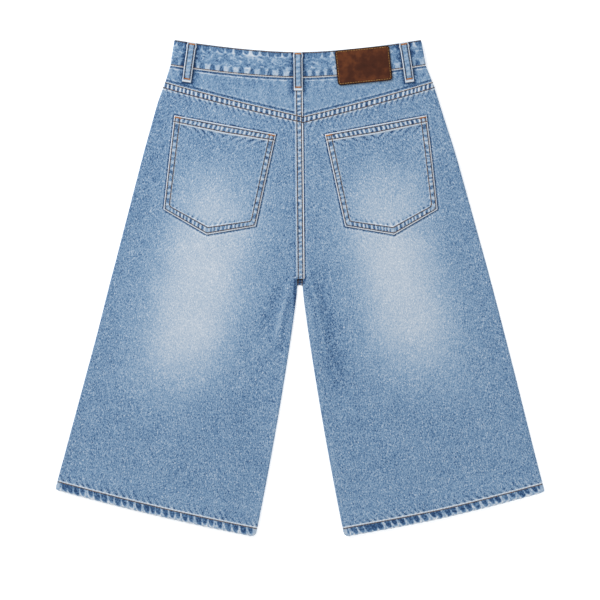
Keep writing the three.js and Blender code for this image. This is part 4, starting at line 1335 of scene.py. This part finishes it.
def leather_patch():
    half_w, half_h, corner = PATCH_WIDTH / 2, PATCH_HEIGHT / 2, PATCH_CORNER
    v = (half_h - patch_stations(PATCH_HEIGHT, 0.00035))[:, None]
    into = np.clip(np.abs(v) - (half_h - corner), 0, corner)
    trim = corner - np.sqrt(corner**2 - into**2)
    along = patch_stations(PATCH_WIDTH, 0.0004)
    u = (half_w - trim) * (2 * along / PATCH_WIDTH - 1)[None, :]
    past_u = np.maximum(0, np.abs(u) - half_w + corner)
    from_corner = np.hypot(past_u, np.maximum(0, np.abs(v) - half_h + corner))
    straight = np.minimum(half_w - np.abs(u), half_h - np.abs(v))
    edge = np.where(from_corner > 0, np.minimum(straight, corner - from_corner), straight)
    edge = np.maximum(0, edge)
    press = 0.0003 * hump(edge - PATCH_ROW, 0.0009) + 0.00012 * hump(edge, 0.002)
    wave = 0.00008 * drift(u, v + 0 * u, 0.012, 31)
    x, y = patch_place(u, v)
    foot = BAND_TOP + SEAM_GAP
    top = foot + PATCH_THICK - rounded_edge(edge, PATCH_BEVEL) - press + wave
    under = foot + rounded_edge(edge, PATCH_BEVEL / 2)
    tone = ease((edge - 0.0008) / 0.0028) * (1 - 0.5 * hump(edge - PATCH_ROW, 0.0008))
    return points_at(x, y, top), points_at(x, y, under), tone


piece = cloth_wall("patch_leather", *leather_patch())
piece.data.materials[0] = leather_material()
dress(piece, "patch")


# Front panels
#
# Face down on the surface, and finished plainly: scooped pocket mouths, a hem like the back's, and
# the left panel lapping over the right one at the centre.

SCOOP_TOP_X, SCOOP_FOOT_Y = 0.105, 0.235
SCOOP_SHARE, SCOOP_FADE = 0.55, 0.210
FRONT_LAP = 0.002
FRONT_TONE = 0.45
MOUTH_EDGE_ROWS = (0.002, 0.0085)
FRONT_CENTRE_ROWS = (0.0045, 0.0105)  # the rows beside the front's centre seam, below the fly
FRONT_PARTING = 0.0015
# The threads underneath lie in grooves, clear of the surface
ROW_SINK, ROW_SINK_WIDTH = 0.0007, 0.0010
FRONT_STEP = 0.0026
FRONT_CUT = (0.390, 0.690)


def scoop_point(t, lap=0.0):
    """The pocket mouth, a quarter ellipse from the waistband's foot to the side seam."""
    turn = math.pi / 2 * t
    corner_x = float(side_half(SCOOP_FOOT_Y))
    corner_y = float(front_band_foot(SCOOP_TOP_X)) - SEAM_GAP
    x = corner_x - (corner_x - SCOOP_TOP_X + lap) * np.cos(turn)
    return x, corner_y - (corner_y - SCOOP_FOOT_Y + lap) * np.sin(turn)


def front_centre_x(side):
    return -FRONT_LAP if side < 0 else FRONT_LAP + SEAM_GAP


def front_inseam_half(y):
    """The fronts part a little wider at the crotch, where the backs' edges lie over them."""
    return inseam_half(y) + FRONT_PARTING * np.exp((y - FRONT_CROTCH_Y) / CROTCH_EASE_RUN)


def front_panel(side):
    seed = 800 if side < 0 else 900
    centre_y = float(front_band_foot(0)) - SEAM_GAP
    centre_x = front_centre_x(side)

    def down(total):
        seat = centre_y - FRONT_CROTCH_Y
        fine = [(0.0, 0.014, 0.0016), (seat - 0.002, seat + 0.001, 0.0004)]
        return stations(total, 0.0042, [*fine, (total - 0.020, total, 0.0013)])

    top = (SCOOP_FOOT_Y, centre_y, centre_x)
    rows = LegRows(top, FRONT_CROTCH_Y, front_inseam_half, down, FRONT_STEP)
    share = rows.across
    scoop_x, scoop_y = scoop_point(1 - np.minimum(share, SCOOP_SHARE) / SCOOP_SHARE)
    waist_x = mix(SCOOP_TOP_X, centre_x, (share - SCOOP_SHARE) / (1 - SCOOP_SHARE))
    on_scoop = share < SCOOP_SHARE
    target_x = np.where(on_scoop, scoop_x, waist_x)
    target_y = np.where(on_scoop, scoop_y, front_band_foot(waist_x) - SEAM_GAP)
    pull = (1 - ease(rows.from_top / SCOOP_FADE)) * ~rows.on_leg
    rows.x = rows.x + pull * (target_x - mix(float(side_half(SCOOP_FOOT_Y)), centre_x, share))
    rows.y = rows.y + pull * (target_y - mix(SCOOP_FOOT_Y, centre_y, share))
    x, y = rows.x, rows.y
    added, hem_tone = hem_relief(side, rows, seed)
    tone = FRONT_TONE + 0.8 * thigh_tone(side, x, y) + 0.02 * drift(x, y, 0.03, seed + 5)
    tone = np.where(rows.from_hem < HEM_REACH, tone + hem_tone, tone)
    tone = mix(tone, 0.9, up_to(rows.from_top, 0.0013, 0.0008) * on_scoop)
    sunk = hump(rows.from_hem - HEM_ROW, ROW_SINK_WIDTH)
    sunk = sunk + grooves(rows.from_top, MOUTH_EDGE_ROWS, ROW_SINK_WIDTH) * on_scoop
    if side < 0:
        centre = grooves(rows.from_centre, FRONT_CENTRE_ROWS, ROW_SINK_WIDTH)
        sunk = sunk + centre * ~rows.on_leg
    sunk = ROW_SINK * np.minimum(1, sunk)
    hollow = np.maximum(sunk, np.maximum(0, -added) + 0.0001 * (1 + drift(x, y, 0.03, seed + 6)))
    z = lift(y) + hollow * ease(rows.from_edge / 0.004)
    ply = np.where(rows.from_hem < HEM_HEIGHT, HEM_PLY, PLY) - sunk
    outer, inner = rows.wall(side, -1, z, ply)
    # Painted shade: the inside of each front darkens to full dye towards the crotch, where it shows
    # between the backs
    crotch = np.hypot(x, y - FRONT_CROTCH_Y - 0.004)
    inner_tone = mix(INSIDE_TONE, 0.0, 1 - ease((crotch - 0.030) / 0.030))
    return outer, inner, tone, inner_tone, rows


for side, word in SIDES.items():
    *sheet, inner_tone, rows = front_panel(side)
    leg_rows[f"front_{word}"] = rows
    lay_panel(f"front_{word}", FRONT_CUT, ["floor"], *sheet, inner_tone=inner_tone, inner_step=2)


# Hip facings
#
# The pieces that show in the scooped mouths. Each is level with the front at the side seam and goes
# in behind it at the mouth.

FACING_LAP, FACING_PLY = 0.008, 0.001
FACING_FROM, FACING_TO = 0.05, 0.94
FACING_CORNER = 0.55
FACING_ROWS, FACING_COLUMNS = 70, 30
FACING_CUT = (0.130, 0.130)


def hip_facing(side):
    seed = 1000 + side
    radius = float(roll_radius(SCOOP_FOOT_Y))
    side_top = float(front_band_foot(FOOT_HALF)) - SEAM_GAP
    t = np.linspace(FACING_FROM, FACING_TO, FACING_ROWS)[:, None]
    seam_y = mix(SCOOP_FOOT_Y, side_top, t / FACING_CORNER)
    past_corner = (t - FACING_CORNER) / (1 - FACING_CORNER)
    waist_x = mix(float(side_half(side_top)), SCOOP_TOP_X, past_corner)
    at_side = t < FACING_CORNER
    outer_x = np.where(at_side, side_half(seam_y), waist_x)
    outer_y = np.where(at_side, seam_y, front_band_foot(waist_x) - SEAM_GAP)
    inner_x, inner_y = scoop_point(1 - t, FACING_LAP)
    length = np.hypot(outer_x - inner_x, outer_y - inner_y)
    slope = length - FACING_LAP - 2 * radius
    distance = in_from_roll(radius, length, FACING_COLUMNS)
    x = mix(outer_x, inner_x, distance / length)
    y = mix(outer_y, inner_y, distance / length)
    z = lift(y) + (PLY + SEAM_GAP) * ease((distance - radius) / slope)
    inset = np.maximum(0, from_side(x, y))
    outer, inner = rolled(side, x, y, z, FACING_PLY, -1, inset, radius, SIDE_WAY)
    return outer, inner, FRONT_TONE + 0.02 * drift(x, y, 0.02, seed)


for side, word in SIDES.items():
    lay_panel(f"pocket_facing_{word}", FACING_CUT, [f"front_{word}_cloth"], *hip_facing(side))


# Fly
#
# A shaped piece sewn on over the left front's edge, with two rows that curve in at its foot. The zip
# behind it is closed and doesn't show.

FLY_WIDTH, FLY_LENGTH, FLY_CURVE, FLY_PLY = 0.038, 0.150, 0.034, 0.001
FLY_TOP_Y = float(front_band_foot(0)) - 2 * SEAM_GAP
FLY_ROWS = (0.0025, 0.0085)
FLY_STEP, FLY_COLUMNS = 0.0022, 20
FLY_CUT = (0.041, 0.150)


def fly_width(down):
    into = np.maximum(0, down - (FLY_LENGTH - FLY_CURVE)) / FLY_CURVE
    return FLY_WIDTH * np.sqrt(np.maximum(0.02, 1 - into**2))


def fly_piece():
    down = stations(FLY_LENGTH, FLY_STEP)[:, None]
    width = fly_width(down)
    u = np.linspace(0, 1, FLY_COLUMNS)[None, :]
    x = mix(-FRONT_LAP, width, u)
    y = FLY_TOP_Y - down
    edge = np.minimum(np.minimum(x + FRONT_LAP, width - x), np.minimum(down, FLY_LENGTH - down))
    over = lift(y) - SEAM_GAP
    tone = FRONT_TONE + 0.02 * drift(x, y, 0.02, 1100)
    tone = mix(tone, 0.85, up_to(edge, 0.0012, 0.0008))
    outer = lay(-1, x, y, over - FLY_PLY + rounded_edge(edge, 0.0005))
    return outer, lay(-1, x, y, over), tone


lay_panel("fly", FLY_CUT, ["front_left_cloth"], *fly_piece())


# Waist button
#
# A plain jeans button of aged copper, face down under the centre of the front waistband.

BUTTON_RADIUS, BUTTON_THICK = 0.0085, 0.002
BUTTON_SIDES = 64

# Its outline as shares of the radius and the thickness: domed middle, groove, rim and flat back
BUTTON_SHARES = [0.05, 0.28, 0.50, 0.58, 0.66, 0.73, 0.80, 0.88, 0.95, 1.0, 1.0, 0.96, 0.90, 0.05]
BUTTON_DROPS = [0.02, 0.03, 0.10, 0.24, 0.25, 0.12, 0.0, 0.0, 0.10, 0.35, 0.7, 0.92, 1.0, 1.0]


def metal_material():
    material, tree = new_material("aged_copper")
    tarnish = noise(tree, place_in(tree), 300.0, 4.0)
    colour = ramp(tree, tarnish, [(0.35, linear(92, 60, 40)), (0.65, linear(168, 118, 78))])
    surface(tree, colour, 0.30 + tarnish * 0.25, Metallic=1.0)
    return material


def waist_button():
    """The button's outline turned round its middle."""
    angle = np.linspace(0, 2 * np.pi, BUTTON_SIDES, endpoint=False)[None, :]
    reach = BUTTON_RADIUS * np.array(BUTTON_SHARES)[:, None]
    drop = BUTTON_THICK * np.array(BUTTON_DROPS)[:, None]
    x, y, _ = lay(1, 0.0, float(front_band_top(0)) - BAND_HEIGHT / 2, 0.0)
    return points_at(x + reach * np.cos(angle), y + reach * np.sin(angle), drop)


rings = waist_button()
piece = bar("waist_button_metal", rings, np.zeros(rings.shape[:2]), metal_material(), 0.0)
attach(piece, "root")
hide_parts("waist_button")


# Topstitching
#
# Heavy thread, about six stitches to the inch, brown on the seams and tan on the patch; the loops'
# rows are in a darker copy of the brown, painted shade for the grooves they lie in. Each stitch is a
# short arch of thread whose ends go down into the cloth. Every row is drawn in plan and dropped onto
# the cloth that it holds.

STITCH_SPACING = 0.0040
STITCH_LENGTH = 0.0032
THREAD_THICK = 0.0013
THREAD_ARCH = 0.00032
ROW_STEP = 0.0012  # between the places at which a row is dropped onto the cloth


def thread_material(name, dark, light):
    material, tree = new_material(name)
    wear = noise(tree, place_in(tree), 170.0, 2.0)
    colour = ramp(tree, wear, [(0.35, linear(*dark)), (0.65, linear(*light))])
    surface(tree, colour, 0.6, Specular_IOR_Level=0.3)
    return material


brown_thread = thread_material("brown_thread", (58, 40, 34), (122, 92, 72))
orange_thread = thread_material("orange_thread", (160, 100, 48), (212, 148, 84))
# Dark navy thread, painted shade for the shadowed fold at the crotch
crotch_shade_thread = thread_material("crotch_shade_thread", (24, 34, 50), (52, 68, 92))
tan_thread = thread_material("tan_thread", (132, 92, 50), (186, 138, 80))
# A darker copy of the brown thread, painted shade for the grooves of the loops' rows
shaded_loop_thread = thread_material("shaded_loop_thread", (42, 36, 42), (92, 78, 72))


def stitch_nodes():
    """A group that lays stitches along a path of edges."""
    group = bpy.data.node_groups.new("stitches", "GeometryNodeTree")
    kinds = {"Path": "Geometry", "Thread": "Material", "Seed": "Int"}
    values = ("Spacing", "Length", "Thickness", "Arch", "Turn", "Sway")
    for name in ("Path", *values, "Seed", "Thread"):
        kind = "NodeSocket" + kinds.get(name, "Float")
        group.interface.new_socket(name=name, in_out="INPUT", socket_type=kind)
    group.interface.new_socket(name="Stitches", in_out="OUTPUT", socket_type="NodeSocketGeometry")
    tree = Tree(group)
    sockets = group.nodes.new("NodeGroupInput").outputs
    given = {socket.name: Wire(tree, socket) for socket in sockets}

    half = given["Length"] * 0.5
    dip = given["Arch"] * -0.5
    start = tree.node("ShaderNodeCombineXYZ", None, {"X": half * -1, "Z": dip})
    middle = tree.node("ShaderNodeCombineXYZ", None, {"Z": given["Arch"] * 2.5})
    end = tree.node("ShaderNodeCombineXYZ", None, {"X": half, "Z": dip})
    ends = {"Start": start, "Middle": middle, "End": end, "Resolution": 5}
    arch = tree.node("GeometryNodeCurveQuadraticBezier", None, ends)
    round_thread = {"Resolution": 6, "Radius": given["Thickness"] * 0.5}
    section = tree.node("GeometryNodeCurvePrimitiveCircle", {"mode": "RADIUS"}, round_thread)
    sweep = {"Curve": arch, "Profile Curve": section, "Fill Caps": True}
    stitch = tree.node("GeometryNodeCurveToMesh", None, sweep)

    line = tree.node("GeometryNodeMeshToCurve", None, {"Mesh": given["Path"]})
    along = {"Curve": line, "Length": given["Spacing"]}
    places = tree.node("GeometryNodeCurveToPoints", {"mode": "LENGTH"}, along)
    tangent = Wire(tree, places.socket.node.outputs["Tangent"])
    settings = {"axis": "X", "pivot_axis": "Z"}
    facing = tree.node("FunctionNodeAlignRotationToVector", settings, {"Vector": tangent})
    sway = {2: given["Sway"] * -1, 3: given["Sway"], 8: given["Seed"]}
    lean = tree.node("FunctionNodeRandomValue", {"data_type": "FLOAT"}, sway, output=1)
    yaw = tree.node("ShaderNodeCombineXYZ", None, {"Z": given["Turn"] + lean})
    swung = tree.node("FunctionNodeEulerToRotation", None, {"Euler": yaw})
    turned = {"Rotation": facing, "Rotate By": swung}
    rotation = tree.node("FunctionNodeRotateRotation", {"rotation_space": "LOCAL"}, turned)
    laid = {"Points": places, "Instance": stitch, "Rotation": rotation}
    stitches = tree.node("GeometryNodeInstanceOnPoints", None, laid)
    whole = tree.node("GeometryNodeRealizeInstances", None, {"Geometry": stitches})
    smooth = tree.node("GeometryNodeSetShadeSmooth", None, {"Geometry": whole})
    finished = {"Geometry": smooth, "Material": given["Thread"]}
    threaded = tree.node("GeometryNodeSetMaterial", None, finished)
    tree.node("NodeGroupOutput", None, {"Stitches": threaded})
    return group


stitches = stitch_nodes()


def sew(name, paths, thread, **changes):
    """Lays stitches along paths of points, as one piece. changes are other values for the group."""
    points = [tuple(point) for path in paths for point in path]
    starts = np.cumsum([0] + [len(path) for path in paths])
    edges = [(i, i + 1) for a, b in zip(starts, starts[1:]) for i in range(a, b - 1)]
    guide_mesh = bpy.data.meshes.new(f"{name}_guide")
    guide_mesh.from_pydata(points, edges, [])
    guide = bpy.data.objects.new(f"{name}_guide", guide_mesh)
    scene.collection.objects.link(guide)
    values = {"Spacing": STITCH_SPACING, "Length": STITCH_LENGTH, "Thickness": THREAD_THICK}
    values |= {"Arch": THREAD_ARCH, "Turn": 0.0, "Sway": 0.06, "Seed": 7, "Thread": thread}
    values |= changes
    modifier = guide.modifiers.new("stitches", "NODES")
    modifier.node_group = stitches
    for socket in stitches.interface.items_tree:
        if socket.in_out == "INPUT" and socket.name in values:
            modifier[socket.identifier] = values[socket.name]
    evaluated = guide.evaluated_get(bpy.context.evaluated_depsgraph_get())
    mesh = bpy.data.meshes.new_from_object(evaluated)
    bpy.data.objects.remove(guide)
    piece = bpy.data.objects.new(name, mesh)
    scene.collection.objects.link(piece)
    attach(piece, "root")
    return piece


def drawn_line(corners, corner_radius=0.0, step=ROW_STEP):
    """A line in plan through these corners, with its corners rounded, as closely spaced places."""
    corners = np.asarray(corners, dtype=float)
    route = [corners[0]]
    for before, corner, after in zip(corners, corners[1:], corners[2:]):
        if corner_radius == 0:
            route.append(corner)
            continue
        a = corner + (before - corner) * min(0.5, corner_radius / np.linalg.norm(before - corner))
        b = corner + (after - corner) * min(0.5, corner_radius / np.linalg.norm(after - corner))
        route += [mix(mix(a, corner, k), mix(corner, b, k), k) for k in np.linspace(0, 1, 6)]
    route = np.array([*route, corners[-1]])
    run = np.concatenate([[0], np.cumsum(np.hypot(*np.diff(route, axis=0).T))])
    places = np.linspace(0, run[-1], max(2, int(run[-1] / step)))
    return np.stack([np.interp(places, run, route[:, 0]), np.interp(places, run, route[:, 1])], -1)


surfaces = {}


def dropped(name, line, from_below=False):
    """The points of a cloth piece that lie under a line in plan, or over it seen from below."""
    if name not in surfaces:
        mesh = cloth[name].data
        points = [tuple(vertex.co) for vertex in mesh.vertices]
        faces = [tuple(face.vertices) for face in mesh.polygons]
        surfaces[name] = BVHTree.FromPolygons(points, faces)
    start, way = (-0.01, 1) if from_below else (0.03, -1)
    hits = [surfaces[name].ray_cast((x, y, start), (0, 0, way))[0] for x, y in line]
    places = np.array([tuple(hit) for hit in hits if hit is not None])
    if from_below:
        places[:, 2] = np.maximum(places[:, 2], THREAD_THICK / 2 + THREAD_ARCH + 0.0001)
    return places


def in_half(side, x, y):
    """Places given in one half, in plan."""
    return lay(side, np.asarray(x), np.asarray(y), 0.0)[..., :2]


def yoke_rows(side, word):
    for depth in YOKE_ROWS:
        y_end = YOKE_SIDE_Y - depth
        x = np.linspace(centre_back_x(side) + 0.0004, float(side_half(y_end)) - 0.0016, 160)
        y = yoke_seam_y(side, x) - depth / YOKE_SEAM_COS
        yield dropped(f"back_{word}", in_half(side, x, y))


def centre_rows():
    for inset in CENTRE_ROWS:
        x = centre_back_x(-1) + inset
        seam_y = float(yoke_seam_y(-1, x))
        band_y = float(back_band_foot(x)) - SEAM_GAP
        spans = {"back_left": (BACK_CROTCH_Y + 0.001, seam_y), "yoke_left": (seam_y, band_y)}
        for name, (low, high) in spans.items():
            y = np.arange(low + 0.001, high - 0.001, ROW_STEP)
            yield dropped(name, in_half(-1, x, y))


def hem_row(layer, side, word, from_below):
    rows = leg_rows[f"{layer}_{word}"]
    from_hem = rows.from_hem[::-1, 0]
    keep = range(5, rows.x.shape[1] - 5)
    x = [np.interp(HEM_ROW, from_hem, rows.x[::-1, j]) for j in keep]
    y = [np.interp(HEM_ROW, from_hem, rows.y[::-1, j]) for j in keep]
    return dropped(f"{layer}_{word}", drawn_line(in_half(side, x, y)), from_below)


def band_rows():
    """The waistband's rows as (path, is on the front)."""
    reach_in = (BAND_HOLLOW + BAND_PLY) / 2 + BAND_PLY / 2
    slit = BAND_SLIT_X / (FOOT_HALF - reach_in)
    stretches = [(back_band_foot, -1, 1, False), (front_band_foot, slit + 0.01, 1, True)]
    stretches.append((front_band_foot, -1, slit - 0.01, True))
    for foot, start, stop, below in stretches:
        share = np.linspace(start, stop, 260)
        foot_x = share * (FOOT_HALF - reach_in)
        for depth in BAND_ROWS:
            h = BAND_HEIGHT - depth
            x = mix(foot_x, share * (WAIST_HALF - reach_in), h / BAND_HEIGHT)
            yield dropped("waistband", in_half(1, x, foot(foot_x) + h), below), below


def pocket_rows(side, word):
    width, height, kink = pocket_frame()
    name = f"back_pocket_{word}"
    for inset in POCKET_ROWS:
        corners = [(inset, 0.0046), (inset, height - inset), (width * kink, height - inset)]
        corners += [(width - inset, height - inset), (width - inset, 0.0046)]
        line = drawn_line(corners, 0.0045)
        yield dropped(name, in_half(side, *pocket_place(side, *line.T)))
    for depth, end in zip(MOUTH_ROWS, (0.0122, 0.002)):
        line = drawn_line([(end, depth), (width - end, depth)])
        yield dropped(name, in_half(side, *pocket_place(side, *line.T)))


def loop_rows(loop):
    name, _, _, length, front = loop
    for a in (LOOP_WIDTH / 2 - LOOP_ROW, LOOP_ROW - LOOP_WIDTH / 2):
        d = np.arange(0.005, length - 0.006, ROW_STEP)
        yield dropped(name, in_half(1, *loop_place(loop, d, a)), front)


def crotch_rows():
    """The front's seam seen from inside, where the backs part over it."""
    y = np.arange(FRONT_CROTCH_Y + 0.0010, BACK_CROTCH_Y - 0.0006, ROW_STEP)
    for side, word in SIDES.items():
        yield dropped(f"front_{word}", in_half(side, CROTCH_HALF_GAP + 0.0006, y))


def fly_rows():
    """The fly's two curved rows, then the centre seam's rows from its foot to the crotch."""
    for inset in FLY_ROWS:
        down = np.linspace(0.002, FLY_LENGTH - inset, 140)
        x = fly_width(np.minimum(down * FLY_LENGTH / (FLY_LENGTH - inset), FLY_LENGTH)) - inset
        yield dropped("fly", in_half(-1, np.maximum(x, 0.0), FLY_TOP_Y - down), True)
    for inset in FRONT_CENTRE_ROWS:
        y = np.arange(FRONT_CROTCH_Y + 0.006, FLY_TOP_Y - FLY_LENGTH - 0.002, ROW_STEP)
        yield dropped("front_left", in_half(-1, inset - FRONT_LAP, y), True)


seat_rows = [*centre_rows(), *crotch_rows()]
under_rows = [*fly_rows()]
for side, word in SIDES.items():
    seat_rows += [*yoke_rows(side, word), hem_row("back", side, word, False)]
    under_rows.append(hem_row("front", side, word, True))
    for inset in MOUTH_EDGE_ROWS:
        line = in_half(side, *scoop_point(np.linspace(0.04, 0.98, 140), inset))
        under_rows.append(dropped(f"front_{word}", line, True))
for path, below in band_rows():
    (under_rows if below else seat_rows).append(path)
loop_seams = []
for loop in LOOPS:
    (under_rows if loop[-1] else loop_seams).extend(loop_rows(loop))
mouth_rows = [path for side, word in SIDES.items() for path in pocket_rows(side, word)]

sew("seat_stitches", seat_rows, brown_thread)
sew("pocket_stitches", mouth_rows, brown_thread, Seed=11)
# The loops' rows in the darker thread, painted shade for their grooves
sew("loop_stitches", loop_seams, shaded_loop_thread, Seed=17)
sew("under_stitches", under_rows, brown_thread, Seed=13, Arch=-THREAD_ARCH)


def patch_row():
    w, h = PATCH_WIDTH / 2 - PATCH_ROW, PATCH_HEIGHT / 2 - PATCH_ROW
    line = drawn_line([(0, h), (w, h), (w, -h), (-w, -h), (-w, h), (0, h)], 0.0028)
    return dropped("patch", np.stack(patch_place(*line.T), -1))


sew("patch_stitches", [patch_row()], tan_thread, Thickness=0.0009, Length=0.0028)


# Bartacks
#
# Dense bars of orange thread at the ends of the loops, the corners of the pockets, the mouths of the
# front pockets and the foot of the fly, and of dark navy thread at the crotch, where the navy is
# painted shade for the shadowed fold there.

BARTACK_SPACING = 0.0006
BARTACK_THREAD = 0.0006
BARTACK_LENGTH = 0.0021


def bartack(name, start, end, from_below=False):
    return dropped(name, drawn_line([start, end], step=BARTACK_SPACING), from_below)


def loop_bartacks():
    half = LOOP_WIDTH / 2 - LOOP_ROW + 0.0002
    for loop in LOOPS:
        name, _, _, length, front = loop
        for d in (0.0032, length - 0.0050):
            ends = [in_half(1, *loop_place(loop, d, a)) for a in (-half, half)]
            yield bartack(name, *ends, front), front


def pocket_bartacks(side, word):
    width = pocket_frame()[0]
    for start, end in ((0.0014, 0.0112), (width - 0.0112, width - 0.0014)):
        ends = [in_half(side, *pocket_place(side, across, 0.0026)) for across in (start, end)]
        yield bartack(f"back_pocket_{word}", *ends)


def front_bartacks():
    for side, word in SIDES.items():
        for t in (0.05, 0.965):
            ends = [in_half(side, *scoop_point(t, lap)) for lap in (0.001, 0.0095)]
            yield bartack(f"front_{word}", *ends, True)
    tack_y = FLY_TOP_Y - FLY_LENGTH + 0.004
    yield bartack("fly", *(in_half(-1, x, tack_y) for x in (0.001, 0.010)), True)


def crotch_shade_bars():
    """Two bars of thread that hold the fronts together where the backs part, dark navy as painted
    shade for the shadowed fold there.
    """
    for y in (BACK_CROTCH_Y - 0.0016, BACK_CROTCH_Y - 0.0054):
        left = bartack("front_left", in_half(-1, 0.0046, y), in_half(-1, -0.0016, y))
        right = bartack("front_right", in_half(1, 0.0028, y), in_half(1, 0.0046, y))
        yield np.concatenate([left, right])


tacks = [path for path, front in loop_bartacks() if not front]
tacks += [path for side, word in SIDES.items() for path in pocket_bartacks(side, word)]
under_tacks = [path for path, front in loop_bartacks() if front] + [*front_bartacks()]
bars = {"Spacing": BARTACK_SPACING, "Length": BARTACK_LENGTH, "Thickness": BARTACK_THREAD}
bars |= {"Turn": math.radians(82), "Sway": 0.12}
sew("bartacks", tacks, orange_thread, **bars)
# The crotch bars in dark navy, painted shade for the fold there
sew("crotch_shade_bartack", [*crotch_shade_bars()], crotch_shade_thread, **bars)
sew("under_bartacks", under_tacks, orange_thread, **bars | {"Arch": -THREAD_ARCH})
